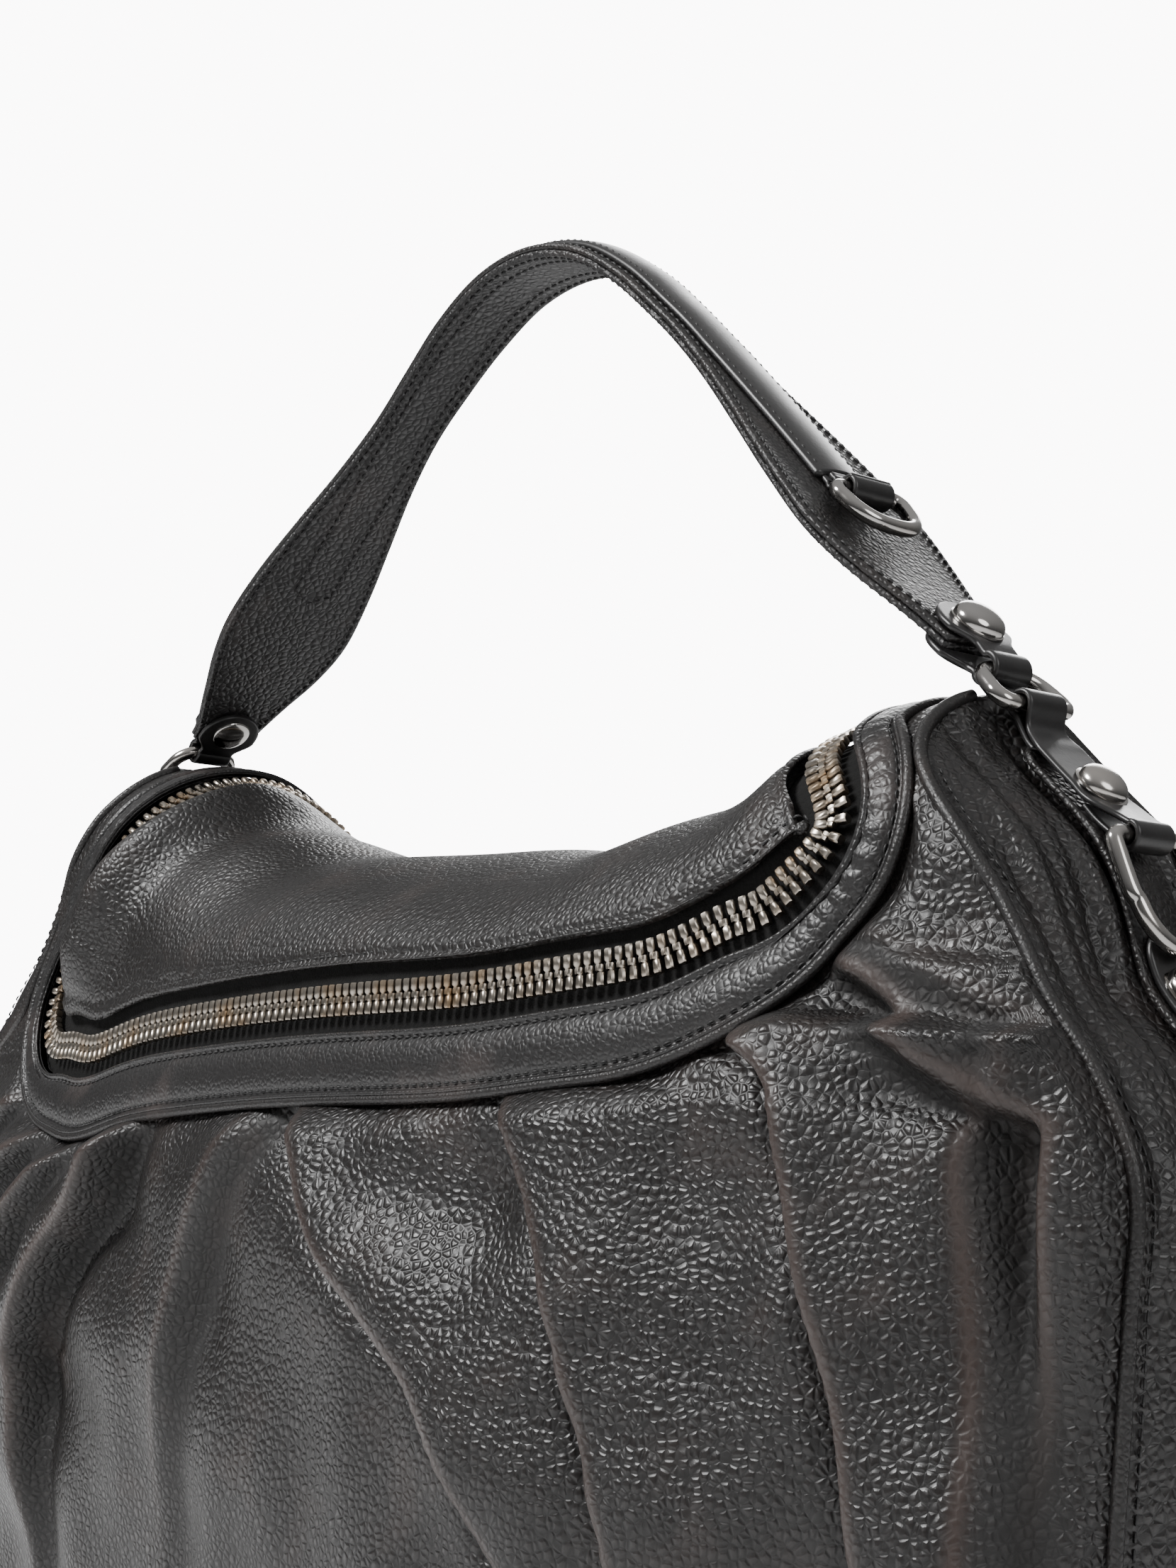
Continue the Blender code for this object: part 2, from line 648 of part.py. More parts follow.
def offset_path(line, off):
    out = []
    for i, (x, z, w) in enumerate(line):
        a, b = line[max(i - 1, 0)], line[min(i + 1, len(line) - 1)]
        t = unit((a[0], a[1]), (b[0], b[1]))
        out.append((x - t[1] * off, z + t[0] * off))
    return out


def make_handle():
    pivot = (0, 0, RING_TOP1[1])
    line = handle_line(2)
    for name, off, look, narrow in (("handle_outer", 1.05, "grained", 0),
                                    ("handle_lining", -1.05, "grained", 0)):
        path = offset_path(line, off)
        widths = [p[2] for p in line]
        strap(name, path, lambda u, w=widths: w[int(round(u * (len(w) - 1)))], 1.7, look,
              pivot=pivot)

    # overlay strip along the outside, between the two small rings
    inner = [p for p in line if abs(p[0]) < 121]
    over = offset_path(inner, 3.2)

    def over_w(u):
        w = inner[int(round(u * (len(inner) - 1)))][2]
        return min(18.0, w - 7.0)
    strap("handle_overlay", over, over_w, 1.8, "smooth", pivot=pivot)

    for side, s in (("left", -1), ("right", 1)):
        # loop and small ring at the overlay's end
        a, b = (124.4, 371.2), (139.6, 356.0)
        t = unit(a, b)
        n = (-t[1], t[0])
        bar = (130.0 + n[0] * 6.2, 365.6 + n[1] * 6.2)
        u = (-t[0], -t[1])
        path = hairpin(bar, u, n, WIRE_R + 1.4, (-3.2, 8.2), (-1.1, 7.4), start=60, ramp=1.5)
        strap("dring_loop_" + side, path, lambda v: 15.0, 1.2, "smooth", s, pivot=pivot)
        ring_pivot = (s * bar[0], 0, bar[1])
        down = unit((0, 0), (t[0] + n[0] * 0.05, t[1] + n[1] * 0.05))
        tube("handle_dring_" + side, [(s * x, y, z) for x, y, z in dee(bar, down, 11.2, 15.5)],
             WIRE_R, "gunmetal", cyclic=True, pivot=ring_pivot)

        # end tab folded through the top ring, with its stud and rivet cap
        mid = (171.5, 328.6)
        u = unit(RING_TOP1, mid)
        n = (u[1], -u[0]) if u[1] > 0 else (-u[1], u[0])
        path = hairpin(RING_TOP1, u, n, 4.5, (3.35, 24.0), (-3.35, 22.5), start=48, ramp=1.5)
        length = run_length(path)

        def width(v, length=length):
            d = min(v * length, (1 - v) * length)
            w = 13.0 + 8.6 * min(d, 1.0) * (1 - smoothstep(11.0, 19.0, d))
            if d < 9:
                k = 1 - d / 9.0
                w *= 0.3 + 0.7 * math.sqrt(max(0.0, 1 - k * k))
            return w
        strap("handle_tab_" + side, path, width, 1.5, "smooth", s, pivot=pivot)
        top = (mid[0] + n[0] * 4.5, mid[1] + n[1] * 4.5)
        dome("stud_handle_" + side, (s * top[0], 0, top[1]), (s * n[0], 0, n[1]), STUD_R, 4.4)
        low = (mid[0] - n[0] * 4.5, mid[1] - n[1] * 4.5)
        turned("rivet_cap_" + side, [(0, 1.2), (5.6, 1.2), (6.6, 0.5), (6.6, 0), (0, 0)],
               (s * low[0], 0, low[1]), (-s * n[0], 0, -n[1]), "gunmetal")


def smoothstep(a, b, x):
    k = min(max((x - a) / (b - a), 0.0), 1.0)
    return k * k * (3 - 2 * k)


# ---- the slider and its puller --------------------------------------------------------
def make_slider():
    center_z = smooth(RIDGE_Z, 147) - ZIP_ARC
    pivot = (-147, 0, center_z)
    rest = math.radians(72)

    def at(w, height, ang):
        r = ZIP_ARC + height
        return Vector((-147 + w, r * math.sin(ang), center_z + r * math.cos(ang)))

    prof = [(-7.2, 0.2), (-7.2, 2.4), (-3.6, 3.6), (3.6, 3.6), (7.2, 2.4), (7.2, 0.2)]

    def place(u, v):
        w, h = prof[int(round(u * 5))]
        return at(w, h, rest + math.radians(14) * (v - 0.5))
    sheet("zip_slider", 5, 4, place, "gunmetal", 1.0, side=0.0, pivot=pivot, bend=False)

    p = at(0, 5.2, rest)
    lean = math.radians(13)
    down = Vector((0, math.sin(lean), -math.cos(lean)))

    def tag(u, v):
        d = 1.0 + 27 * u
        half = (2.2 + 2.4 * smoothstep(0, 9, d)) * (1 - 0.35 * smoothstep(23, 28, d))
        return p + down * d + Vector((half * (2 * v - 1), 0, 0))
    sheet("zip_puller", 8, 1, tag, "gunmetal", 1.4, side=0.0, pivot=tuple(p), bend=False)


clear_scene()
CHAIN = make_top()
make_panels(CHAIN)
make_inside()
make_hardware()
make_handle()
make_slider()
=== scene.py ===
"""Slouched black leather hobo bag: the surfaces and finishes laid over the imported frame."""

import math

import bpy
import numpy as np
from mathutils import Matrix, Vector


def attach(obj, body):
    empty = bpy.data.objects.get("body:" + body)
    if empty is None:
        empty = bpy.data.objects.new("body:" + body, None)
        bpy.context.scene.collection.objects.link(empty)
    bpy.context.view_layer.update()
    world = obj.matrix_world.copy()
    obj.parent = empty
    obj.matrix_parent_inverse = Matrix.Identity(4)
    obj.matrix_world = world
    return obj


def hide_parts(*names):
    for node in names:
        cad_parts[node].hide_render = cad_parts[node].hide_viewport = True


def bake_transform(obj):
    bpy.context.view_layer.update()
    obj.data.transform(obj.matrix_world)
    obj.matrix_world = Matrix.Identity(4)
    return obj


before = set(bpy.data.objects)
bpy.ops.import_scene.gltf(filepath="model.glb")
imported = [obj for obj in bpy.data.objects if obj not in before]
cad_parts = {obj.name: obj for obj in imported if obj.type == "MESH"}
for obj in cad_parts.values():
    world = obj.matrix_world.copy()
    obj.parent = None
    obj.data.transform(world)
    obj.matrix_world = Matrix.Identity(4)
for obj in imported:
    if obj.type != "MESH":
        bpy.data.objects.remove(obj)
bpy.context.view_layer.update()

MM = 0.001

# ---- camera ----------------------------------------------------------------------
# Close three-quarter view of the right front corner, from a little above the middle of
# the bag, looking slightly up so that the handle stands against the backdrop.
VIEW_FROM = (0.570, -0.443, 0.227)
VIEW_AZIMUTH, VIEW_PITCH, VIEW_ROLL = np.radians((50.68, 5.92, 3.28))


def add_camera():
    """Camera axes from azimuth (left of +Y), pitch (up) and roll (to the right)."""
    ca, sa = math.cos(VIEW_AZIMUTH), math.sin(VIEW_AZIMUTH)
    cp, sp = math.cos(VIEW_PITCH), math.sin(VIEW_PITCH)
    ahead = Vector((-sa * cp, ca * cp, sp))
    level = Vector((ca, sa, 0))
    up = level.cross(ahead)
    right = level * math.cos(VIEW_ROLL) + up * math.sin(VIEW_ROLL)
    up = up * math.cos(VIEW_ROLL) - level * math.sin(VIEW_ROLL)
    lens = bpy.data.cameras.new("camera")
    lens.sensor_fit, lens.sensor_height, lens.lens = "VERTICAL", 36, 56.35
    lens.clip_start, lens.clip_end = 0.01, 60
    eye = bpy.data.objects.new("camera", lens)
    eye.matrix_world = Matrix.Translation(VIEW_FROM) @ Matrix((right, up, -ahead)).transposed().to_4x4()
    bpy.context.scene.collection.objects.link(eye)
    bpy.context.scene.camera = eye


add_camera()

# ---- studio ----------------------------------------------------------------------
# A pale floor and a pale surround, one broad soft light high on the left front, a
# second on the right and a third behind.
LIGHTS = [("key_light", (-0.45, -1.20, 1.45), (0.0, 0.0, 0.2), 0.6, 46.0),
          ("side_light", (1.45, -0.15, 1.00), (0.15, 0.0, 0.22), 0.9, 9.0),
          ("back_light", (-0.9, 1.3, 1.2), (0.0, 0.0, 0.25), 1.0, 24.0)]


def nodes_of(owner):
    owner.use_nodes = True
    owner.node_tree.nodes.clear()
    return owner.node_tree


class Wire:
    """A socket that reads as a number: + - and * add Math nodes."""

    def __init__(self, tree, socket):
        self.tree, self.socket = tree, socket

    def add(self, kind, inputs=(), out=0, **settings):
        """Adds a node, sets it up, fills its sockets and returns one of its outputs."""
        node = self.tree.nodes.new(kind)
        stops = settings.pop("stops", None)
        for key, value in settings.items():
            setattr(node, key, value)
        if stops:
            ramp = node.color_ramp.elements
            while len(ramp) < len(stops):
                ramp.new(0.5)
            for stop, (at, color) in zip(ramp, stops):
                stop.position, stop.color = at, (*color, 1) if len(color) == 3 else color
        pairs = inputs.items() if isinstance(inputs, dict) else enumerate(inputs)
        for key, value in pairs:
            if isinstance(value, Wire):
                self.tree.links.new(value.socket, node.inputs[key])
            elif value is not None:
                node.inputs[key].default_value = value
        return Wire(self.tree, node.outputs[out])

    def math(self, operation, *values):
        return self.add("ShaderNodeMath", values, operation=operation)

    def __add__(self, other):
        return self.math("ADD", self, other)

    def __sub__(self, other):
        return self.math("SUBTRACT", self, other)

    def __mul__(self, other):
        return self.math("MULTIPLY", self, other)

    def __rsub__(self, other):
        return self.math("SUBTRACT", other, self)

    __radd__, __rmul__ = __add__, __mul__

    def between(self, low, high):
        """Smooth step from 0 at low to 1 at high."""
        return self.add("ShaderNodeMapRange", {0: self, 1: low, 2: high, 3: 0.0, 4: 1.0},
                        interpolation_type="SMOOTHSTEP")

    def mix(self, first, second):
        """Colour mix by this number."""
        return self.add("ShaderNodeMix", {0: self, 6: first, 7: second}, out=2, data_type="RGBA")


def new_look(name):
    """An empty material, a wire to add its nodes with, and its object coordinates."""
    look = bpy.data.materials.new(name)
    start = Wire(nodes_of(look), None)
    return look, start, start.add("ShaderNodeTexCoord", out="Object")


def finish_look(look, start, **sockets):
    """One principled shader; a name's underscores stand for the socket's spaces."""
    shader = start.add("ShaderNodeBsdfPrincipled",
                       {key.replace("_", " "): value for key, value in sockets.items()})
    end = start.tree.nodes.new("ShaderNodeOutputMaterial")
    start.tree.links.new(shader.socket, end.inputs[0])
    return look


def build_studio():
    world = bpy.data.worlds.new("surround")
    tree = nodes_of(world)
    start = Wire(tree, None)
    up = start.add("ShaderNodeTexCoord", out="Generated")
    height = start.add("ShaderNodeSeparateXYZ", {0: up}, out=2)
    glow = start.add("ShaderNodeValToRGB", {0: height * 0.5 + 0.5}, stops=[
        (0.0, (0.05, 0.05, 0.05)), (0.46, (0.07, 0.07, 0.07)), (0.62, (0.20, 0.20, 0.20)),
        (1.0, (0.62, 0.62, 0.62))])
    seen = start.add("ShaderNodeLightPath", out="Is Camera Ray")
    shade = seen.mix(glow, (10.5, 10.3, 10.3, 1))
    back = start.add("ShaderNodeBackground", {0: shade, 1: 1.0})
    end = tree.nodes.new("ShaderNodeOutputWorld")
    tree.links.new(back.socket, end.inputs[0])
    bpy.context.scene.world = world
    for name, place, aim, size, power in LIGHTS:
        lamp = bpy.data.lights.new(name, "AREA")
        lamp.shape, lamp.size, lamp.energy = "DISK", size, power
        stand = bpy.data.objects.new(name, lamp)
        stand.location = place
        stand.rotation_euler = (Vector(aim) - Vector(place)).to_track_quat("-Z", "Y").to_euler()
        bpy.context.scene.collection.objects.link(stand)
    t = np.linspace(0, 2 * math.pi, 65)[:-1]
    rim = np.stack([2.6 * np.cos(t), 2.6 * np.sin(t), 0 * t - 0.0004], 1)
    mesh = bpy.data.meshes.new("floor")
    mesh.from_pydata(rim.tolist(), [], [list(range(64))])
    floor = bpy.data.objects.new("floor", mesh)
    bpy.context.scene.collection.objects.link(floor)
    paper, start, place = new_look("floor_paper")
    speck = start.add("ShaderNodeTexNoise", {"Vector": place, "Scale": 3.0})
    mesh.materials.append(finish_look(
        paper, start, Base_Color=speck.mix((0.90, 0.90, 0.90, 1), (0.93, 0.93, 0.93, 1)),
        Roughness=0.9))


build_studio()

# ---- front panel -----------------------------------------------------------------
# Soft pebbled cowhide, gathered into deep pleats under the padded band and sewn into
# the gussets at both ends. The bag's overall form is set here, as half widths and half
# depths that change with height; every other panel follows it.
SEAM_X = [(0, 196), (10, 216), (30, 237), (62, 250), (100, 256), (140, 258), (180, 259),
          (205, 259), (226, 248), (241, 235), (255, 225), (274, 210), (294, 191),
          (304, 185), (316, 183)]          # half length at the gusset seam, by height
SEAM_PULL = [(0, 0), (150, 0), (185, 4), (204, 22), (223, 42), (240, 34), (262, 22), (285, 6),
             (296, 0), (320, 0)]           # how far the left front seam is drawn inwards
SEAM_Y = [(0, 38), (30, 42), (240, 41), (255, 40), (274, 39), (316, 36)]
MID_Y = [(0, 52), (30, 62), (80, 71), (130, 76), (180, 75), (233, 66), (255, 57.9),
         (280, 54), (320, 50)]             # half depth at the middle
RIDGE_Z = [(0, 278), (60, 279), (90, 283), (120, 290), (135, 297), (147, 307),
           (165, 312), (200, 315)]         # height of the top edge along the bag
CAP_H = [(0, 45), (100, 46), (147, 52), (200, 50)]   # height over which the top rounds
BULGE = [(0, 5), (60, 7), (190, 6), (226, 3), (245, 1), (265, 8), (279, 11), (292, 9),
         (305, 5), (316, 4)]               # how far the gusset stands out at its middle
SLUMP = 22.0                               # the soft front has slid down to the left
ZIP_EDGE, BAND_OUT = 9.5, 27.0             # leather edges beside the chain's middle line
SIDE_NARROW = 0.24                         # the band is this much narrower at its sides
LID_HINGE = (53.0, 262.0)                  # half depth and height of the lid's bend line
HIDE = 1.8                                 # thickness of the panels
EDGE_ROUND = 0.45                          # how far a cut edge bulges, in half thicknesses
TOP_END = 183.0                            # half length of the top edge
BASE_END, BASE_Z = 185, 3.0                # half length and lower edge of the panels' foot
BLACK_HIDE = (0.0098, 0.0080, 0.0074)


def curve(table, t):
    """Smooth (Hermite) curve through (t, value) pairs, for a whole array of t."""
    ts, vs = np.array(table, float).T
    t = np.clip(t, ts[0], ts[-1])
    slope = np.empty_like(vs)
    slope[1:-1] = (vs[2:] - vs[:-2]) / (ts[2:] - ts[:-2])
    slope[0] = (vs[1] - vs[0]) / (ts[1] - ts[0])
    slope[-1] = (vs[-1] - vs[-2]) / (ts[-1] - ts[-2])
    i = np.clip(np.searchsorted(ts, t) - 1, 0, len(ts) - 2)
    h = ts[i + 1] - ts[i]
    s = (t - ts[i]) / h
    return (vs[i] * (2 * s ** 3 - 3 * s ** 2 + 1) + vs[i + 1] * (3 * s ** 2 - 2 * s ** 3)
            + slope[i] * h * (s ** 3 - 2 * s ** 2 + s) + slope[i + 1] * h * (s ** 3 - s ** 2))


def ease(a, b, x):
    """0 below a, 1 above b, smooth between."""
    k = np.clip((x - a) / (b - a), 0, 1)
    return k * k * (3 - 2 * k)


def half_depth(x, z):
    """Seam depth at the gusset, fuller towards the middle."""
    a = np.minimum(np.abs(x) / curve(SEAM_X, z), 1)
    side = curve(SEAM_Y, z)
    return side + (curve(MID_Y, z) - side) * (1 - a ** 2.6)


def face_depth(x, z):
    """Half depth, rounded over to the ridge as a quarter ellipse."""
    ridge, cap = curve(RIDGE_Z, np.abs(x)), curve(CAP_H, np.abs(x))
    c = np.clip(1 - (ridge - z) / cap, 0, 1)
    return half_depth(x, np.minimum(z, ridge - cap)) * np.sqrt(1 - c * c)


def skin(p):
    """Points of the top surface for (x, q) pairs: q is 0 on the ridge, 1 at the foot of
    the front curve and -1 at the foot of the back curve."""
    x, q = p[..., 0], p[..., 1]
    ridge, cap = curve(RIDGE_Z, np.abs(x)), curve(CAP_H, np.abs(x))
    far = np.abs(q)
    a = np.minimum(far, 1) * math.pi / 2
    z = ridge - cap * (1 - np.cos(a)) - np.maximum(far - 1, 0) * 70
    y = half_depth(x, np.where(far > 1, z, ridge - cap)) * np.sin(a)
    return np.stack([x, -np.sign(q) * y, z], -1)


def q_at(x, z):
    ridge, cap = curve(RIDGE_Z, np.abs(x)), curve(CAP_H, np.abs(x))
    over = np.arccos(np.clip(1 - (ridge - z) / cap, -1, 1)) / (math.pi / 2)
    return np.where(z < ridge - cap, 1 + (ridge - cap - z) / 70, over)


def slopes(p):
    dx, dq = np.array([0.5, 0]), np.array([0, 0.01])
    return skin(p + dx) - skin(p - dx), (skin(p + dq) - skin(p - dq)) / 0.02


def unit(v):
    return v / np.maximum(np.linalg.norm(v, axis=-1, keepdims=True), 1e-9)


def skin_normal(p):
    px, pq = slopes(p)
    return unit(np.cross(px, -pq))


def catmull(points, per_span):
    """Catmull-Rom curve through the points."""
    p = np.array(points, float)
    p = np.vstack([p[:1], p, p[-1:]])
    s = np.arange(per_span)[:, None] / per_span
    a, b, c, d = (p[k:len(p) - 3 + k, None] for k in range(4))
    out = 0.5 * (2 * b + (c - a) * s + (2 * a - 5 * b + 4 * c - d) * s ** 2
                 + (3 * b - a - 3 * c + d) * s ** 3)
    return np.vstack([out.reshape(-1, p.shape[1]), p[-1:]])


def respace(line, count, place=None):
    """count points at even steps of length along the line, measured where it lies."""
    pts = place(line) if place else line
    run = np.concatenate([[0], np.cumsum(np.linalg.norm(np.diff(pts, axis=0), axis=1))])
    at = np.linspace(0, run[-1], count)
    return np.stack([np.interp(at, run, line[:, k]) for k in range(line.shape[1])], -1)


def slumped(x, z):
    """Height of the front's seams once the soft leather has slid to the left."""
    fade = ease(0, 1, (302 - z) / 62)
    return z + SLUMP * np.sign(x) * (np.minimum(np.abs(x), 173) / 173) ** 1.4 * fade


def zip_line(per_span):
    """Middle of the zip, from the back at the left round the front to the back at the
    right, as (x, q) pairs."""
    left = [(0, 233), (62, 232), (108, 231.5), (140, 231), (159, 234), (171, 242), (174, 254),
            (168, 268), (158, 284), (150.5, 297)]
    right = [(0, 233), (62, 232), (108, 232.5), (140, 236), (155, 239.5), (163, 245), (170, 253),
             (173, 266), (167, 284), (156, 298.5)]
    turn = [(147, 149), (147, 147.5)] + [(147, 147)] * 4

    def run(sign):
        front = np.array(left if sign < 0 else right, float)
        back = np.array([(row[sign > 0], a / 90) for row, a in zip(turn, (-2, -20, -40, -60, -74, -81))])
        x = sign * front[:, 0]
        return np.vstack([np.stack([x, q_at(x, slumped(x, front[:, 1]))], -1),
                          back * (sign, 1)])
    return catmull(np.vstack([run(-1)[:0:-1], run(1)]), per_span)


def blurred(rows, spread):
    """Rows averaged along the first way with a bell of the given spread in rows."""
    reach = int(3 * spread)
    bell = np.exp(-0.5 * (np.arange(-reach, reach + 1) / spread) ** 2)
    bell /= bell.sum()
    ends = [2 * rows[:1] - rows[reach:0:-1], rows, 2 * rows[-1:] - rows[-2:-reach - 2:-1]]
    long = np.concatenate(ends)
    return sum(w * long[k:k + len(rows)] for k, w in enumerate(bell))


def beside(line, w):
    """The line moved w mm across the surface, outwards from the lid, and less so along
    the zip's side runs."""
    steps = int(abs(w) / 3) + 1
    far = np.abs(np.linspace(-1, 1, len(line)))
    total = w * (1 - (SIDE_NARROW * ease(0.20, 0.38, far) if w > 12 else 0 * far))
    for _ in range(steps):
        pts = skin(line)
        t = unit(np.gradient(pts, axis=0))
        px, pq = slopes(line)
        s = np.cross(t, unit(np.cross(px, -pq))) * (total / steps)[:, None]
        a, b, c = (px * px).sum(-1), (px * pq).sum(-1), (pq * pq).sum(-1)
        det = a * c - b * b
        u, v = (px * s).sum(-1), (pq * s).sum(-1)
        line = line + blurred(np.stack([(c * u - b * v) / det, (a * v - b * u) / det], -1), 3)
    return line


def grid_faces(nu, nv, around=False):
    """Quads over a grid of nu by nv points, closed along the second way if around."""
    i, j = np.meshgrid(np.arange(nu - 1), np.arange(nv if around else nv - 1), indexing="ij")
    k = (j + 1) % nv
    return np.stack([i * nv + j, (i + 1) * nv + j, (i + 1) * nv + k, i * nv + k], -1).reshape(-1, 4)


def tube_faces(count, sides):
    """Quads round a run of rings, and a fan of triangles over each end about one more
    point: the two end points follow the rings."""
    s = np.arange(sides)
    after = (s + 1) % sides
    first, last = np.full(sides, count * sides), (count - 1) * sides
    return [grid_faces(count, sides, True), np.stack([first, s, after], -1),
            np.stack([first + 1, last + after, last + s], -1)]


def make_piece(name, points, faces, material, body, sharp=None):
    """Mesh object from points in millimetres and one or more arrays of faces. It rides on
    the body; a piece that bends between two bodies is given none here."""
    mesh = bpy.data.meshes.new(name)
    faces = [f for group in (faces if isinstance(faces, list) else [faces]) for f in group.tolist()]
    mesh.from_pydata((np.asarray(points).reshape(-1, 3) * MM).tolist(), [], faces)
    mesh.validate()
    mesh.shade_smooth()
    if sharp:
        mesh.set_sharp_from_angle(angle=math.radians(sharp))
    mesh.materials.append(material)
    piece = bpy.data.objects.new(name, mesh)
    bpy.context.scene.collection.objects.link(piece)
    if body:
        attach(piece, body)
    return piece


def shell(name, grid, thick, material, body, out=(0, -1, 0), lined=True):
    """A sheet of even thickness: the grid outside, its copy pushed in along the normals
    inside (left out where the lining covers it), and a rounded rim between them."""
    nu, nv = grid.shape[:2]
    n = np.cross(np.gradient(grid, axis=0), np.gradient(grid, axis=1))
    n = unit(n)
    flip = (n * np.array(out)).sum(-1).mean() < 0
    if flip:
        n = -n
    inner = grid - n * thick
    ring = np.concatenate([np.arange(nv), np.arange(1, nu) * nv + nv - 1,
                           (nu - 1) * nv + np.arange(nv - 2, -1, -1), np.arange(nu - 2, 0, -1) * nv])
    centre = grid.reshape(-1, 3)[ring]
    inward = unit(grid[nu // 2, nv // 2] - centre)
    mid = (centre + inner.reshape(-1, 3)[ring]) / 2 - inward * EDGE_ROUND * thick * 0.5
    pts = np.vstack([grid.reshape(-1, 3), inner.reshape(-1, 3), mid])
    top = grid_faces(nu, nv)
    k = len(ring)
    m = 2 * nu * nv + np.arange(k)
    m2 = np.roll(m, -1)
    r, r2 = ring, np.roll(ring, -1)
    rim_a = np.stack([r, m, m2, r2], -1)
    rim_b = np.stack([m, r + nu * nv, r2 + nu * nv, m2], -1)
    faces = [top, rim_a[:, ::-1], rim_b[:, ::-1]]
    if lined:
        faces.append(top[:, ::-1] + nu * nv)
    else:
        used = np.union1d(ring + nu * nv, np.concatenate([np.arange(nu * nv), m]))
        number = np.cumsum(np.isin(np.arange(len(pts)), used)) - 1
        pts, faces = pts[used], [number[f] for f in faces]
    if flip:
        faces = [f[:, ::-1] for f in faces]
    return make_piece(name, pts, faces, material, body)


def leather(name, color, cell, relief, rough, streak=1.0):
    """Drum-dyed leather: rounded pebbles of the given cell size in metres from a Voronoi
    pattern, with scuffed, slightly warmer patches, dull dark grooves, and two masks read
    from the mesh: fold crests painted lighter (part scuffing, part painted highlight) and
    fold grooves painted darker (painted shade)."""
    hide, start, place = new_look(name)
    wobble = start.add("ShaderNodeTexNoise", {"Vector": place, "Scale": 90.0, "Detail": 2.0},
                       out="Color")
    bent = start.add("ShaderNodeMix", {0: 0.0022, 4: place, 5: wobble}, out=1, data_type="VECTOR")
    pebble = start.add("ShaderNodeTexVoronoi", {"Vector": bent, "Scale": 1 / cell,
                                                "Smoothness": 0.35}, feature="SMOOTH_F1")
    crease = start.add("ShaderNodeTexVoronoi", {"Vector": bent, "Scale": 1 / cell},
                       feature="DISTANCE_TO_EDGE")
    fine = start.add("ShaderNodeTexNoise", {"Vector": place, "Scale": 2.4 / cell, "Detail": 3.0,
                                            "Roughness": 0.6})
    wide = start.add("ShaderNodeTexNoise", {"Vector": place, "Scale": 9.0, "Detail": 3.0})
    patch = start.add("ShaderNodeTexNoise", {"Vector": place, "Scale": 38.0, "Detail": 4.0})
    # Two masks stored on the front panel: fold crests, painted lighter as part scuffing and part painted
    # highlight, and fold grooves, painted darker as painted shade.
    crest_wear_and_highlight = start.add("ShaderNodeAttribute", out="Fac", attribute_name="crest_wear_and_highlight")
    shaded = start.add("ShaderNodeAttribute", out="Fac", attribute_name="shaded")
    groove = crease.between(0.0, 0.30)
    height = groove * 0.50 + (1 - pebble) * 0.9 + fine * 0.16
    # Paler on random scuffed patches and, as a painted highlight, on the fold crests; darker in the
    # grain's grooves and, as painted shade, in the fold grooves.
    paler = patch.between(0.52, 0.75) * 0.4 * streak + crest_wear_and_highlight * 1.1
    deep = tuple(c * 0.40 for c in color) + (1,)
    scuffed_and_lit = tuple(c * k for c, k in zip(color, (3.4, 2.9, 2.7))) + (1,)
    tone = paler.mix((groove - shaded * 0.8).mix(deep, (*color, 1)), scuffed_and_lit)
    gloss = (wide * 0.16 + fine * 0.10 - groove * 0.12 + shaded * 0.35) + (rough - 0.03)
    bump = start.add("ShaderNodeBump", {"Strength": relief, "Distance": cell * 0.24,
                                        "Height": height * (1 - crest_wear_and_highlight * 0.7)})
    return finish_look(hide, start, Base_Color=tone, Roughness=gloss, Normal=bump)


GRAINED = leather("grained_hide", BLACK_HIDE, 0.0022, 0.62, 0.36)
GRAINED_SOFT = leather("grained_hide_soft", BLACK_HIDE, 0.0019, 0.52, 0.38)


def seam_x(z, side):
    """Where the front panel meets the gusset: drawn inwards at the upper left."""
    reach = curve(SEAM_X, z)
    return reach if side > 0 else -(reach - curve(SEAM_PULL, z))


CHAIN = zip_line(14)

# Each fold runs down from the band as x for falling z. Its profile across is a steep
# side and a long side; steep says which way the steep side faces.
FOLDS = [
    # (points (z, x), height, steep width, long width, steep side, fades out over z)
    ([(234, 146), (231, 164), (222, 181), (203, 190), (181, 198), (140, 213), (60, 226)],
     16.0, 3.6, 26.0, -1, 210),
    ([(217, 84), (202, 99), (177, 117), (154, 128), (116, 145), (40, 168)], 8.5, 1.9, 36.0, -1, 320),
    ([(206, 2), (193, 14), (176, 28), (156, 56), (140, 78), (100, 110)], 13.0, 3.6, 24.0, -1, 120),
    ([(203, -22), (180, -36), (150, -48), (100, -60)], 5.0, 7.0, 20.0, 1, 100),
    ([(202, -84), (190, -92), (172, -104), (153, -126), (120, -150)], 13.0, 4.5, 24.0, 1, 120),
    ([(202, -116), (186, -128), (160, -158), (120, -190)], 9.0, 4.0, 14.0, 1, 90),
    ([(204, -140), (190, -156), (172, -186), (150, -215)], 10.0, 4.0, 15.0, 1, 80),
    ([(210, -150), (203, -168), (192, -196), (176, -222)], 7.0, 3.6, 12.0, 1, 70),
    ([(249, 181), (245, 193), (239, 204), (231, 214), (223, 227), (215, 246)], 9.0, 4.4, 18.0, -1, 80),
    ([(256, 186), (252, 199), (244, 217), (236, 236)], 2.6, 3.6, 12.0, -1, 50),
    ([(205, 228), (170, 234), (120, 240), (60, 238)], 7.0, 5.0, 18.0, 1, 140),
]


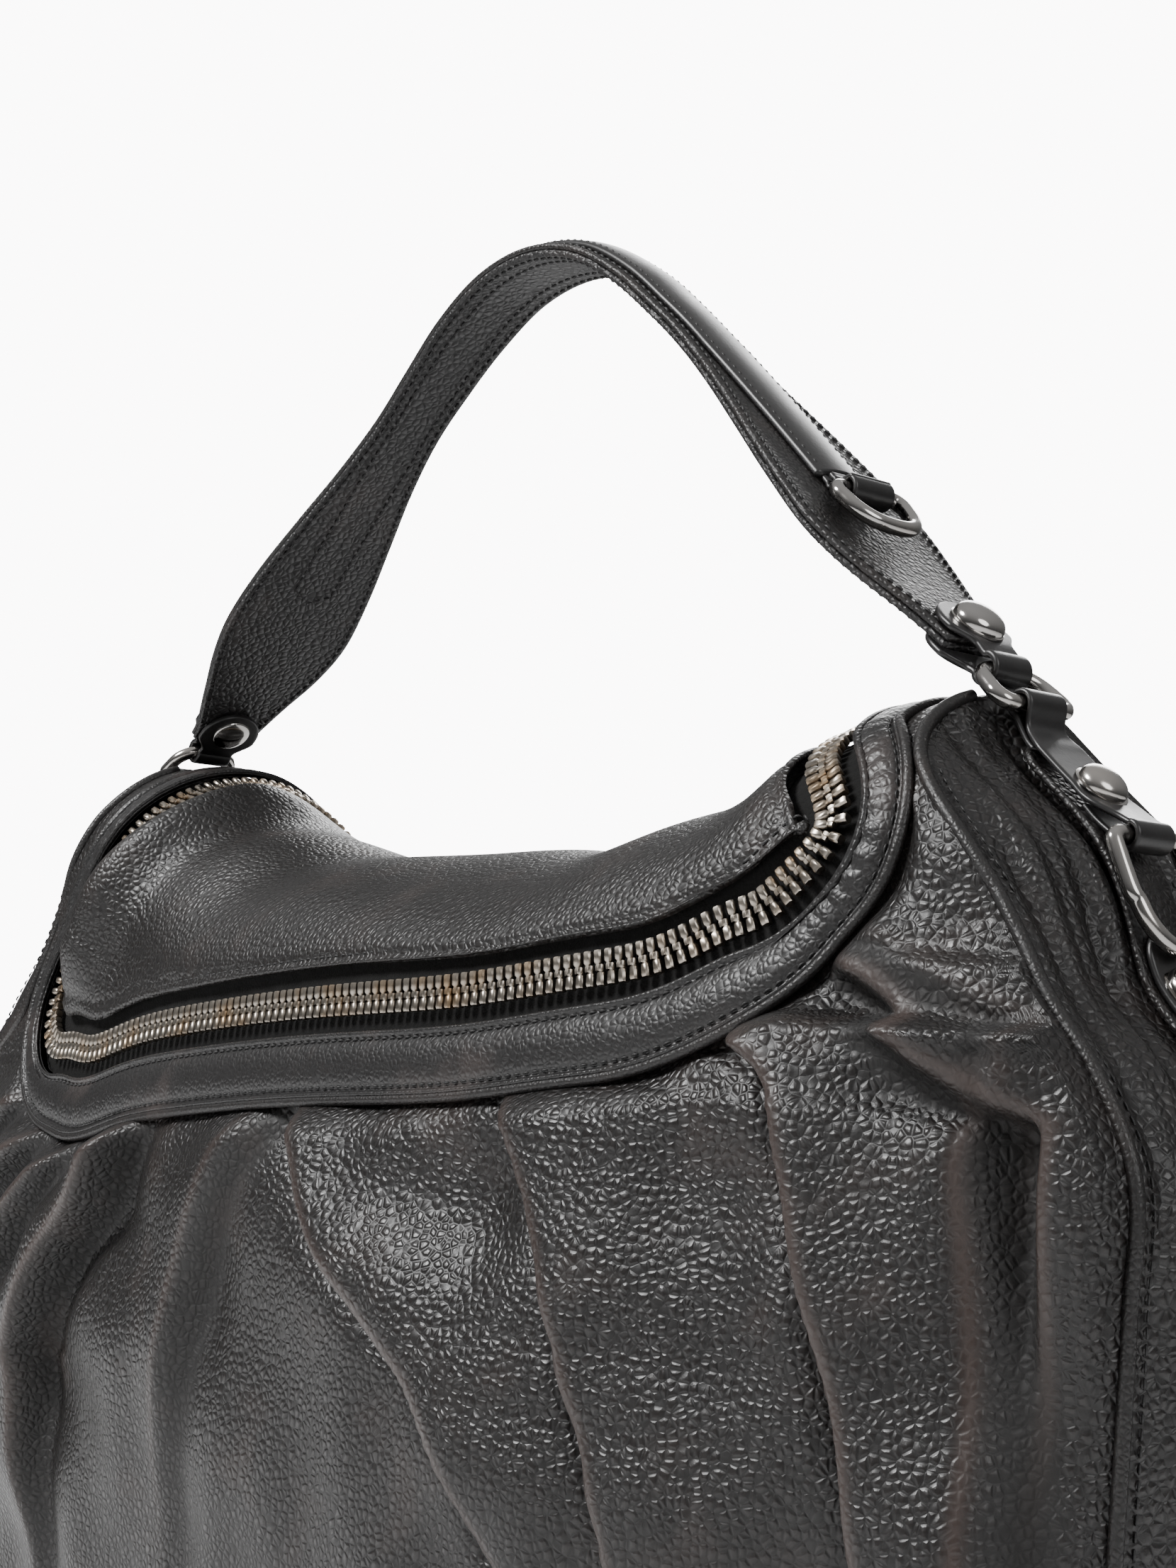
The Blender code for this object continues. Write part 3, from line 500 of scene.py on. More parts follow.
def fold_height(x, z):
    """Sum of the folds: each rises over its steep width, then falls over its long width,
    and dies away with distance down the panel. Also how near each point is to a crest
    and to the groove at its foot."""
    out, crest, groove = np.zeros_like(x), np.zeros_like(x), np.zeros_like(x)
    for points, high, steep, wide, way, run in FOLDS:
        top, low = points[0][0], points[-1][0]
        table = sorted(points)
        at = curve(table, np.clip(z, low, top))
        lean = (curve(table, np.clip(z - 2, low, top)) - curve(table, np.clip(z + 2, low, top))) / 4
        d = (x - at) / np.sqrt(1 + lean * lean) * way * -1
        spread = 1 + 0.9 * ease(0, run, top - z)
        rise = np.where(d < 0, np.exp(-(d / steep) ** 2), np.exp(-(d / (wide * spread)) ** 1.6))
        dip = -0.30 * np.exp(-((d + steep * 2.2) / (steep * 1.6)) ** 2)
        along = (1 - ease(top + 2, top + 20, z)) * (1 - ease(0.55 * run, 1.6 * run, top - z))
        out += high * (rise + dip) * along
        crest = np.maximum(crest, along * np.exp(-((d - 0.6) / 1.9) ** 2) * min(high / 8, 1))
        groove = np.maximum(groove, along * np.exp(-((d + steep * 1.5) / (steep * 0.8)) ** 2))
    return out, crest, groove


def ripple(x, z, seed):
    """Low soft undulation of slack leather, as a few crossed sine waves."""
    rng = np.random.default_rng(seed)
    out = np.zeros_like(x)
    for k in range(9):
        a, phase = rng.uniform(0, math.pi), rng.uniform(0, 6.28)
        length = rng.uniform(22, 70)
        out += (length / 70) * np.sin((x * math.cos(a) + z * math.sin(a)) * 6.283 / length + phase)
    return out / 3


def front_outline(count):
    """Seam line from the ridge on the left, down, along the base and up on the right."""
    z = np.linspace(curve(RIDGE_Z, TOP_END) - 2, BASE_Z, 80)
    left = np.stack([seam_x(z, -1), z], -1)
    right = np.stack([seam_x(z, 1), z], -1)[::-1]
    base = np.stack([np.linspace(-BASE_END, BASE_END, 60), np.full(60, BASE_Z)], -1)
    return respace(np.vstack([left, base, right]), count)


def front_grid(nu, nv):
    """Rows from under the band's edge out to the seam outline."""
    top = beside(CHAIN, BAND_OUT - 3.0)
    top = respace(top[top[:, 1] > 0.02], nu, skin)
    p = skin(top)
    outer = front_outline(nu)
    v = np.linspace(0, 1, nv)[None, :, None] ** 1.15
    xz = p[:, None, [0, 2]] * (1 - v) + outer[:, None] * v
    x, z = xz[..., 0], xz[..., 1]
    away = np.hypot(x - p[:, None, 0], z - p[:, None, 2])
    rim = ease(1, 15, away) * (1 - ease(0.95, 1.0, v[..., 0]))
    high, crest, groove = fold_height(x, z)
    lift = (high + 2.0 * ripple(x, z, 4)) * rim * (1 - ease(262, 300, z))
    y = -face_depth(x, z) - lift + 1.6 * (1 - ease(3, 10, away))
    return np.stack([x, y, z], -1), crest * rim, groove * rim


def mark(piece, name, values):
    """Stores one number for each of the first points of a mesh."""
    rows = np.zeros(len(piece.data.vertices), np.float32)
    rows[:values.size] = values.ravel()
    piece.data.attributes.new(name, "FLOAT", "POINT").data.foreach_set("value", rows)


front_points, front_crest, front_groove = front_grid(460, 205)
front_panel = shell("front_leather", front_points, HIDE, GRAINED, "bag",
                    lined=False)
# The crest mask paints the fold crests lighter, part scuffing and part painted highlight; the groove
# mask paints shade into the fold grooves.
mark(front_panel, "crest_wear_and_highlight", front_crest)
mark(front_panel, "shaded", front_groove)
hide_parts("front_panel")

# ---- gussets ---------------------------------------------------------------------
# One long pebbled strip at each end, from the top ring down to the base, creased by the
# pull of the ring. Its front and back seams carry a rolled piping with a row of
# stitches beside it.
STITCH = (0.004, 0.004, 0.004)


def tube(name, path, normals, radius, material, body, closed=False, sides=12):
    """Round tube along a path: circles in the plane of the normal and the cross way."""
    ahead = np.roll(path, -1, 0) - np.roll(path, 1, 0) if closed else np.gradient(path, axis=0)
    t = unit(ahead)
    n = unit(normals - (normals * t).sum(-1, keepdims=True) * t)
    b = np.cross(t, n)
    a = np.linspace(0, 2 * math.pi, sides + 1)[:-1]
    r = np.broadcast_to(np.asarray(radius, float), (len(path),))
    rings = path[:, None] + r[:, None, None] * (n[:, None] * np.cos(a)[None, :, None]
                                                + b[:, None] * np.sin(a)[None, :, None])
    count = len(path)
    if not closed:
        return make_piece(name, np.vstack([rings.reshape(-1, 3), path[:1], path[-1:]]),
                          tube_faces(count, sides), material, body)
    s = np.arange(sides)
    last, after = (count - 1) * sides, (s + 1) % sides
    join = np.stack([last + s, s, after, last + after], -1)
    return make_piece(name, rings, np.vstack([grid_faces(count, sides, True), join]), material,
                      body)


def stitch_row(path, normals, pitch, long, radius):
    """Points and faces of thread stitches: each is a short six-sided bead that dips into
    the leather at both ends."""
    run = np.concatenate([[0], np.cumsum(np.linalg.norm(np.diff(path, axis=0), axis=1))])
    count = max(int(run[-1] / pitch), 1)
    mid = (np.arange(count) + 0.5) * run[-1] / count
    along = np.array([-0.5, -0.36, 0, 0.36, 0.5])
    thick = np.array([0.25, 0.8, 1.0, 0.8, 0.25])
    dip = np.array([-0.55, 0.05, 0.22, 0.05, -0.55])
    at = mid[:, None] + along[None] * long
    p = np.stack([np.interp(at, run, path[:, k]) for k in range(3)], -1)
    n = unit(np.stack([np.interp(at, run, normals[:, k]) for k in range(3)], -1))
    t = unit(p[:, -1:] - p[:, :1])
    b = np.cross(t, n)
    a = np.linspace(0, 2 * math.pi, 7)[:-1]
    ring = (p + n * dip[None, :, None])[:, :, None] + radius * thick[None, :, None, None] * (
        n[:, :, None] * np.cos(a)[:, None] + b[:, :, None] * np.sin(a)[:, None])
    pts = ring.reshape(-1, 3)
    one = np.vstack([grid_faces(5, 6, True), [[0, 1, 2, 3], [0, 3, 4, 5],
                                              [27, 26, 25, 24], [29, 28, 27, 24]]])
    faces = (one[None] + 30 * np.arange(count)[:, None, None]).reshape(-1, 4)
    return pts, faces


def stitches(name, rows, body, pitch=3.3, long=2.5, radius=0.34):
    """One piece of thread from several rows."""
    pts, faces, base = [], [], 0
    for path, normals in rows:
        p, f = stitch_row(path, normals, pitch, long, radius)
        pts.append(p)
        faces.append(f + base)
        base += len(p)
    return make_piece(name, np.vstack(pts), np.vstack(faces), THREAD, body)


def thread_look():
    """Waxed black thread, lighter in fine random flecks, with a fine twist."""
    look, start, place = new_look("waxed_thread")
    twist = start.add("ShaderNodeTexNoise", {"Vector": place, "Scale": 2500.0})
    bump = start.add("ShaderNodeBump", {"Strength": 0.4, "Distance": 0.0001, "Height": twist})
    return finish_look(look, start, Base_Color=twist.mix((*STITCH, 1), (0.016, 0.015, 0.015, 1)),
                       Roughness=0.55, Normal=bump)


THREAD = thread_look()


def gusset_point(w, z, side):
    """w runs from -1 at the front seam over 0 in the middle to 1 at the back seam. The
    strip bulges as a quarter ellipse when its seam is drawn inwards, else as a parabola."""
    front, rear = seam_x(z, side), side * curve(SEAM_X, z)
    middle = side * (curve(SEAM_X, z) + curve(BULGE, z))
    seam = np.where(w < 0, front, rear)
    pulled = np.clip(np.abs(front - rear) / 18, 0, 1) * (w < 0)
    shape = (1 - w * w) * (1 - pulled) + np.sqrt(np.clip(1 - w * w, 0, 1)) * pulled
    depth = face_depth(seam, z)
    return seam + (middle - seam) * shape, w * depth, z


def gusset_grid(side, nw=90, nz=260):
    z = np.linspace(BASE_Z, curve(RIDGE_Z, TOP_END) - 0.5, nz)[None, :]
    w = np.linspace(-1, 1, nw)[:, None]
    w, z = np.broadcast_arrays(w, z)
    x, y, z = gusset_point(w, z, side)
    inner = (1 - w ** 8)
    pull = ease(150, 250, z) * (1 - ease(296, 312, z)) + 0.25
    crease = np.sin(y * 0.42 + 1.4 * np.sin(z * 0.045) + 0.6 * side) * 0.9 \
        + np.sin(y * 0.83 - z * 0.05) * 0.5 + np.sin(y * 0.2 + z * 0.11) * 0.5
    x = x + side * inner * pull * crease * 1.1
    return np.stack([x, y, z], -1)


def seam_path(side, w):
    """A line down the gusset at w, with its outward normals."""
    z = np.linspace(4.0, curve(RIDGE_Z, TOP_END) - 1.5, 260)
    x, y, z = gusset_point(np.full_like(z, w), z, side)
    p = np.stack([x, y, z], -1)
    out = unit(np.stack([np.full_like(z, side * 1.0), np.full_like(z, np.sign(w) * 1.0), 0 * z], -1))
    return p, out


PIPING = leather("piping_hide", BLACK_HIDE, 0.0014, 0.3, 0.40)

for side, hand in ((-1, "left"), (1, "right")):
    strip = shell("gusset_leather_" + hand, gusset_grid(side), HIDE, GRAINED, "bag",
                  out=(side, 0, 0))
    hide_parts("gusset_" + hand)
    rows = []
    for w, face in ((-1, "front"), (1, "back")):
        p, out = seam_path(side, w)
        cord = tube("seam_roll_%s_%s" % (face, hand), p + out * 0.2, out, 1.7, PIPING, "bag")
        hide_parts("piping_%s_%s" % (face, hand))
        lead, _ = seam_path(side, w * 0.90)
        rows.append((lead + out * 0.25, out))
    stitches("gusset_stitching_" + hand, rows, "bag")

# ---- back panel and base ---------------------------------------------------------
# A plain piece of the same hide behind, sewn under the ends of the band and to the
# lid's bend line, and a flat stiffened base between the front and the back.


def back_grid(nu=240, nv=110):
    """Rows from the line under the band's ends and the lid's seam out to the gussets."""
    foot = LID_HINGE[1] - 1.0
    ridge = curve(RIDGE_Z, TOP_END)
    side = np.stack([np.linspace(171, 168, 40), np.linspace(ridge - 1, foot, 40)], -1)
    across = np.stack([np.linspace(166, -166, 160), np.full(160, foot)], -1)
    top = respace(np.vstack([side, across, (side * (-1, 1))[::-1]])[::-1], nu)
    z = np.linspace(ridge - 1, BASE_Z, 80)
    edge = np.stack([curve(SEAM_X, z), z], -1)
    base = np.stack([np.linspace(BASE_END, -BASE_END, 60), np.full(60, BASE_Z)], -1)
    outer = respace(np.vstack([edge, base, (edge * (-1, 1))[::-1]])[::-1], nu)
    v = np.linspace(0, 1, nv)[None, :, None]
    xz = top[:, None] * (1 - v) + outer[:, None] * v
    x, z = xz[..., 0], xz[..., 1]
    rim = ease(0, 0.1, v[..., 0]) * (1 - ease(0.9, 1, v[..., 0]))
    sag = 0.8 * ripple(x, z, 11) + 1.9 * np.sin(x * 0.047 + z * 0.012) * np.sin(z * 0.012)
    return np.stack([x, face_depth(x, z) + sag * rim, z], -1)


back_panel = shell("back_leather", back_grid(), HIDE, GRAINED, "bag", out=(0, 1, 0))
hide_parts("back_panel")
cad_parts["base_panel"].data.materials.clear()
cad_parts["base_panel"].data.materials.append(GRAINED)

# ---- padded band -----------------------------------------------------------------
# A narrow strip of softer hide over wadding, all along the outside of the zip: its
# inner edge is folded and stitched beside the tape, its outer edge is stitched down
# and ends in a thin rolled lip over the pleats.
BAND_CREASE = leather("band_hide", (0.0120, 0.0108, 0.0106), 0.0017, 0.34, 0.37, streak=1.8)


def band_profile(s):
    """Height of the wadding across the band: folded edge, stitch groove, soft crown,
    second groove and rolled lip."""
    crown = 1.9 * np.sin(np.clip((s - 0.13) / 0.72, 0, 1) * math.pi) ** 0.45
    fold = 1.2 * np.exp(-((s - 0.04) / 0.06) ** 2)
    lip = 1.7 * np.exp(-((s - 0.95) / 0.05) ** 2)
    return 0.9 + crown + fold + lip


def on_skin(line, height):
    """Points standing off the skin, evened out along the line."""
    return blurred(skin(line), 4) + blurred(skin_normal(line), 6) * np.asarray(height)[..., None]


def band_grid():
    s = np.linspace(0, 1, 34)
    rows = []
    run = np.linspace(0, 1, len(CHAIN))
    for t in s:
        line = beside(CHAIN, ZIP_EDGE + (BAND_OUT + 0.6 - ZIP_EDGE) * t)
        crease = 0.28 * np.sin(run * 620 + 3 * np.sin(run * 41)) * np.exp(-((t - 0.5) / 0.3) ** 2)
        bend = np.exp(-((np.abs(run - 0.5) - 0.235) / 0.045) ** 2)
        rows.append(on_skin(line, band_profile(t) + crease * (0.25 + 1.3 * bend)))
    return np.stack(rows, 1)


band = shell("band_leather", band_grid(), 1.6, BAND_CREASE, "bag")
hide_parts("zip_band")
lip_line = beside(CHAIN, BAND_OUT + 1.2)
lip = tube("band_lip", on_skin(lip_line, 1.2 + 0 * lip_line[:, 0]), skin_normal(lip_line), 1.35, PIPING,
           "bag")
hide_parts("band_piping")


def surface_row(w, height, cut=0):
    """A line of stitches beside the zip, cut short at both ends."""
    line = beside(CHAIN, w)[cut:len(CHAIN) - cut]
    return on_skin(line, height + 0 * line[:, 0]), skin_normal(line)


stitches("band_stitching", [surface_row(ZIP_EDGE + 2.3, 1.55), surface_row(BAND_OUT - 2.4, 1.45)],
         "bag")

# ---- zip -------------------------------------------------------------------------
# Number ten zip: two felt-like black tapes, and two rows of pressed metal teeth whose
# heads mesh along the middle line. The lid carries the inner tape and row.
TOOTH_PITCH = 3.45


def felt():
    """Dense matte black tape: fine crossed ribs with loose fibre over them."""
    look, start, place = new_look("zip_felt")
    fuzz = start.add("ShaderNodeTexNoise", {"Vector": place, "Scale": 1600.0, "Detail": 4.0})
    rib = start.add("ShaderNodeTexVoronoi", {"Vector": place, "Scale": 1400.0})
    bump = start.add("ShaderNodeBump", {"Strength": 0.7, "Distance": 0.0003,
                                        "Height": fuzz + rib * 0.5})
    tone = fuzz.mix((0.0035, 0.0035, 0.0035, 1), (0.011, 0.0105, 0.010, 1))
    return finish_look(look, start, Base_Color=tone, Roughness=0.92, Normal=bump,
                       Specular_IOR_Level=0.25)


def metal(name, color, rough, spots, tint):
    """Plated metal: soft smears in the gloss, tint where the plating is thin."""
    look, start, place = new_look(name)
    smear = start.add("ShaderNodeTexNoise", {"Vector": place, "Scale": spots, "Detail": 4.0})
    scratch = start.add("ShaderNodeTexNoise", {"Vector": place, "Scale": 900.0, "Detail": 2.0})
    thin = smear.between(0.45, 0.7)
    bump = start.add("ShaderNodeBump", {"Strength": 0.06, "Distance": 0.0001, "Height": scratch})
    return finish_look(look, start, Base_Color=thin.mix((*color, 1), (*tint, 1)), Metallic=1.0,
                       Roughness=thin * 0.10 + scratch * 0.05 + rough, Normal=bump)


FELT = felt()
NICKEL = metal("aged_nickel", (0.36, 0.325, 0.28), 0.27, 60.0, (0.30, 0.215, 0.135))
GUNMETAL = metal("gunmetal_plate", (0.40, 0.385, 0.37), 0.11, 45.0, (0.46, 0.43, 0.40))

LIFTED = ~((CHAIN[:, 0] < 0) & (CHAIN[:, 1] < -62 / 90))


def tape_grid(w0, w1, keep=None):
    rows = []
    for w in np.linspace(w0, w1, 9):
        line = beside(CHAIN, w)
        line = line if keep is None else line[keep]
        rows.append(on_skin(line, -2.5 + 0.12 * np.sin(np.arange(len(line)) * 2.1)))
    return np.stack(rows, 1)


outer_tape = shell("tape_outer", tape_grid(0.1, 12.5), 0.7, FELT, "bag")
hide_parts("zip_tape_lower")
inner_tape = shell("tape_inner", tape_grid(-13.5, -0.1, LIFTED), 0.7, FELT, None)
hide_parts("zip_tape_upper")
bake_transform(inner_tape)


def tooth_block():
    """One tooth lying along +X from its head at 0.9 past the middle line to its root:
    eight-cornered sections whose width and height change along it."""
    along = np.array([-0.85, -0.75, 0.2, 0.9, 1.5, 3.9, 4.4, 4.5])
    width = np.array([0.45, 0.74, 0.78, 0.66, 1.12, 1.20, 1.10, 0.70])
    tall = np.array([0.55, 1.00, 1.10, 0.85, 1.30, 1.45, 1.20, 0.70])
    a = np.radians([22, 68, 112, 158, 202, 248, 292, 338])
    ring = np.stack([np.sign(np.cos(a)) * np.abs(np.cos(a)) ** 0.6,
                     np.sign(np.sin(a)) * np.abs(np.sin(a)) ** 0.6], -1)
    pts = np.stack([np.broadcast_to(along[:, None], (8, 8)), ring[None, :, 0] * width[:, None],
                    ring[None, :, 1] * tall[:, None]], -1).reshape(-1, 3)
    caps = [[0, 1, 2, 3], [0, 3, 4, 7], [4, 5, 6, 7],
            [59, 58, 57, 56], [63, 60, 59, 56], [63, 62, 61, 60]]
    return pts, np.vstack([grid_faces(8, 8, True)[:, ::-1], np.array(caps)[:, ::-1]])


def teeth(name, side, shift, keep, body):
    """The tooth copied along the middle line, its root pointing to one side of it."""
    line = CHAIN if keep is None else CHAIN[keep]
    pts, normals = on_skin(line, 0 * line[:, 0]), blurred(skin_normal(line), 6)
    run = np.concatenate([[0], np.cumsum(np.linalg.norm(np.diff(pts, axis=0), axis=1))])
    at = np.arange(TOOTH_PITCH * (0.5 + shift), run[-1] - 1, TOOTH_PITCH)
    pick = lambda table: np.stack([np.interp(at, run, table[:, k]) for k in range(3)], -1)
    t = unit(pick(np.gradient(pts, axis=0)))
    n = unit(pick(normals))
    across = np.cross(t, n) * side
    block, faces = tooth_block()
    place = pick(pts) + n * 0.05
    copies = (place[:, None] + block[None, :, :1] * across[:, None] + block[None, :, 1:2] * t[:, None]
              + block[None, :, 2:] * n[:, None])
    if side < 0:
        faces = faces[:, ::-1]
    faces = (faces[None] + 64 * np.arange(len(at))[:, None, None]).reshape(-1, 4)
    return make_piece(name, copies, faces, NICKEL, body, sharp=40)


outer_teeth = teeth("teeth_outer", 1, 0.0, None, "bag")
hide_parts("zip_teeth_lower")
inner_teeth = teeth("teeth_inner", -1, 0.5, LIFTED, None)
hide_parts("zip_teeth_upper")
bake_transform(inner_teeth)

# ---- lid -------------------------------------------------------------------------
# The soft top inside the zip: one piece of hide, folded under along the tape and
# stitched 3 mm in. It sags between the two high ends, and a few slack rolls run from
# its left corner and along its back.


def lid_relief(u, v):
    """Slack rolls of the lid over its own patch, u along the bag and v to the back."""
    body = np.sin(math.pi * np.clip(u, 0, 1)) ** 0.6 * ease(0.0, 0.18, v) * (1 - ease(0.9, 1.0, v))
    left = np.exp(-((u - 0.17) / 0.11) ** 2)
    roll = 6.0 * left * np.exp(-((v - 0.42 - 0.5 * (u - 0.17)) / 0.20) ** 2)
    valley = -4.0 * np.exp(-((u - 0.27) / 0.07) ** 2) * np.exp(-((v - 0.45) / 0.22) ** 2)
    right = 2.4 * np.exp(-((u - 0.80 - 0.1 * v) / 0.05) ** 2) - 2.2 * np.exp(-((u - 0.72) / 0.06) ** 2)
    soft = 1.3 * np.sin(u * 11 + v * 5) * np.sin(v * 6 + 1 + u * 4)
    puff = 13.5 * np.exp(-((u - 0.055) / 0.045) ** 2) * ease(0.0, 0.03, u)
    puff = puff * ease(-0.02, 0.14, v) * (1 - ease(0.52, 0.78, v))
    return body * (roll + valley + right * ease(0.1, 0.5, v) + soft) + puff


def lid_grid(nu=260, nv=110):
    """A patch spanned by the lid's four edges (each point blends the edges opposite)."""
    inner = beside(CHAIN, -ZIP_EDGE)
    right_at = np.argmax(inner[:, 0] + 20 * inner[:, 1])
    left_at = np.argmax(-inner[:, 0] + 20 * inner[:, 1])
    left = respace(inner[left_at::-1], nv, skin)
    front = respace(inner[left_at:right_at + 1], nu, skin)
    right = respace(inner[right_at:], nv, skin)
    x = np.linspace(left[-1, 0], right[-1, 0], nu)
    back = np.stack([x, -q_at(x, np.full(nu, LID_HINGE[1] - 1.5))], -1)
    u = np.linspace(0, 1, nu)[:, None, None]
    v = np.linspace(0, 1, nv)[None, :, None]
    flat = ((1 - v) * front[0] + v * back[0]) * (1 - u) + ((1 - v) * front[-1] + v * back[-1]) * u
    p = ((1 - v) * front[:, None] + v * back[:, None] + (1 - u) * left[None] + u * right[None] - flat)
    edge = np.minimum(np.minimum(u, 1 - u) * 300, np.minimum(v * 90, (1 - v) * 400))[..., 0]
    turned = 1.3 * np.sqrt(np.clip(edge / 1.6, 0, 1)) - 0.9 * np.exp(-((edge - 3.0) / 0.9) ** 2)
    return on_skin(p, 0.6 + turned + lid_relief(u[..., 0], v[..., 0]))


lid = shell("lid_leather", lid_grid(), 1.6, GRAINED_SOFT, "lid", out=(0, -0.3, 1))
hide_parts("lid_panel")


stitches("lid_stitching", [surface_row(-ZIP_EDGE - 3.0, 1.15, 6)], "lid")

# ---- side straps and their tabs --------------------------------------------------
# A doubled backing strap runs down each gusset. Over it a smooth tab is folded round
# the top ring above and the side ring below and held by a domed stud; a second tab
# with its own stud carries on to the base.
WIRE_R = 2.1
RING_BAR1, RING_TOP1 = np.array([194.0, 310.5]), np.array([182.5, 320.0])
RING_BAR2 = 274.5


def smooth_hide(name, color, rough):
    """Smooth calf: almost no pebble, faint pores, soft sheen bands and paler patches."""
    look, start, place = new_look(name)
    pores = start.add("ShaderNodeTexVoronoi", {"Vector": place, "Scale": 1500.0})
    drift = start.add("ShaderNodeTexNoise", {"Vector": place, "Scale": 60.0, "Detail": 4.0})
    fine = start.add("ShaderNodeTexNoise", {"Vector": place, "Scale": 700.0, "Detail": 3.0})
    bump = start.add("ShaderNodeBump", {"Strength": 0.18, "Distance": 0.00012,
                                        "Height": pores * 0.5 + fine})
    paler = drift.between(0.5, 0.75) * 0.6
    tone = paler.mix((*color, 1), tuple(c * 1.8 for c in color) + (1,))
    gloss = drift * 0.16 + fine * 0.08 + (rough - 0.12)
    return finish_look(look, start, Base_Color=tone, Roughness=gloss, Normal=bump)


CALF = smooth_hide("smooth_calf", (0.0115, 0.0108, 0.0108), 0.36)


def side_at(z, off):
    """Points standing off the middle of the gusset, in the XZ plane."""
    def reach(h):
        return curve(SEAM_X, h) + curve(BULGE, h)
    z = np.asarray(z, float)
    lean = (reach(z + 1) - reach(z - 1)) / 2
    k = np.hypot(1, lean)
    return np.stack([reach(z) + off / k, z - off * lean / k], -1)


def strap(name, path, width, thick, material, body, side=1, crown=0.0, tips=(0, 0),
          lip=0.7, count=200):
    """A strap along a path of (x, z) points: its section is a flat strip with rounded
    edges and an optional crown, as wide as width(t), closing to a half round over the
    length of each tip."""
    path = respace(catmull(path, 8), 900)
    total = np.linalg.norm(np.diff(path, axis=0), axis=1).sum()
    t = np.linspace(0, 1, count)
    for tip, sign in ((tips[0], 1), (tips[1], -1)):
        if tip:
            near = tip / total * (1 - np.cos(np.linspace(0, math.pi / 2, 16)))
            t = np.union1d(t, near if sign > 0 else 1 - near)
    p = np.stack([np.interp(t, np.linspace(0, 1, 900), path[:, k]) for k in (0, 1)], -1)
    d = unit(np.gradient(p, t, axis=0))
    n = np.stack([-d[:, 1], d[:, 0]], -1)
    half = width(t) / 2
    for tip, at in ((tips[0], t * total), (tips[1], (1 - t) * total)):
        if tip:
            k = np.clip(1 - at / tip, 0, 1)
            half = half * np.sqrt(np.clip(1 - k * k, 0.0004, 1))
    v = np.sin(np.linspace(-1, 1, 25) * math.pi / 2)
    edge = np.clip((1 - np.abs(v))[None] * half[:, None] / lip, 0, 1)
    puff = thick / 2 * np.sqrt(np.clip(edge * (2 - edge), 0, 1))
    dome = crown * (1 - v * v)[None] * np.ones_like(half)[:, None]
    y = v[None] * half[:, None]
    y = np.concatenate([y, y[:, -2:0:-1]], 1)
    h = np.concatenate([puff + dome, -puff[:, -2:0:-1]], 1)
    pts = np.stack([side * (p[:, 0, None] + n[:, 0, None] * h), y,
                    p[:, 1, None] + n[:, 1, None] * h], -1)
    faces = tube_faces(*pts.shape[:2])
    if side < 0:
        faces = [f[:, ::-1] for f in faces]
    ends = np.stack([pts[0].mean(0), pts[-1].mean(0)])
    return make_piece(name, np.vstack([pts.reshape(-1, 3), ends]), faces, material, body)


def strap_rows(path, width, inset, height, side, span=(0, 1), count=400):
    """Two stitch lines along a strap, set in from its edges."""
    path = respace(catmull(path, 8), count)
    t = np.linspace(0, 1, count)
    keep = (t >= span[0]) & (t <= span[1])
    d = unit(np.gradient(path, axis=0))
    n = np.stack([-d[:, 1], d[:, 0]], -1)
    rows = []
    for edge in (-1, 1):
        y = edge * (width(t) / 2 - inset)
        p = np.stack([side * (path[:, 0] + n[:, 0] * height), y, path[:, 1] + n[:, 1] * height], -1)
        out = np.stack([side * n[:, 0], 0 * y, n[:, 1]], -1) * np.sign(height)
        rows.append((p[keep], out[keep]))
    return rows


def loop_path(bar1, bar2):
    """Upper side tab: round the top ring's bar, down the outside, round the side ring's."""
    r = WIRE_R + 0.30 + 0.7

    def arc(bar, toward, first, sweep):
        u = unit(toward - bar)
        n = np.array([-u[1], u[0]])
        n = n if n[0] > 0 else -n
        a = np.radians(first + sweep * np.linspace(0, 1, 13))[:, None]
        return bar + r * (u * np.cos(a) + n * np.sin(a))
    return np.vstack([side_at([297.0, 299.5], 3.5), arc(bar1, side_at(295, 4.4), -52, -256),
                      side_at([301, 296, 291, 286.5, 283], 5.8),
                      arc(bar2, side_at(286, 5.0), 48, 262), side_at([280.0, 283.5], 3.3)])


def dome_piece(name, at, axis, radius, high, body, collar=1.12):
    """Turned stud: a low collar and a domed head, closed under the collar."""
    a = np.radians(np.linspace(0, 90, 14))
    r = np.concatenate([[0], radius * np.sin(a[1:]), [radius, radius * collar, radius * collar, 0]])
    h = np.concatenate([[high], 0.9 + (high - 0.9) * np.cos(a[1:]) ** 0.9, [0.6, 0.45, 0.0, 0.0]])
    return turned_piece(name, r, h, at, axis, body)


TURNED_SIDES = 40


def turned_piece(name, r, h, at, axis, body):
    """Profile of radii and heights turned about an axis standing at a point."""
    axis = unit(np.asarray(axis, float))
    side = unit(np.cross(axis, [0.0, 1.0, 0.02]))
    other = np.cross(axis, side)
    a = np.linspace(0, 2 * math.pi, TURNED_SIDES + 1)[:-1]
    ring = np.cos(a)[:, None] * side + np.sin(a)[:, None] * other
    rows = at + r[1:-1, None, None] * ring[None] + h[1:-1, None, None] * axis
    pts = np.vstack([rows.reshape(-1, 3), [at + axis * h[0]], [at + axis * h[-1]]])
    piece = make_piece(name, pts, tube_faces(len(rows), TURNED_SIDES), GUNMETAL, body,
                       sharp=50)
    fix_outward(piece)
    return piece


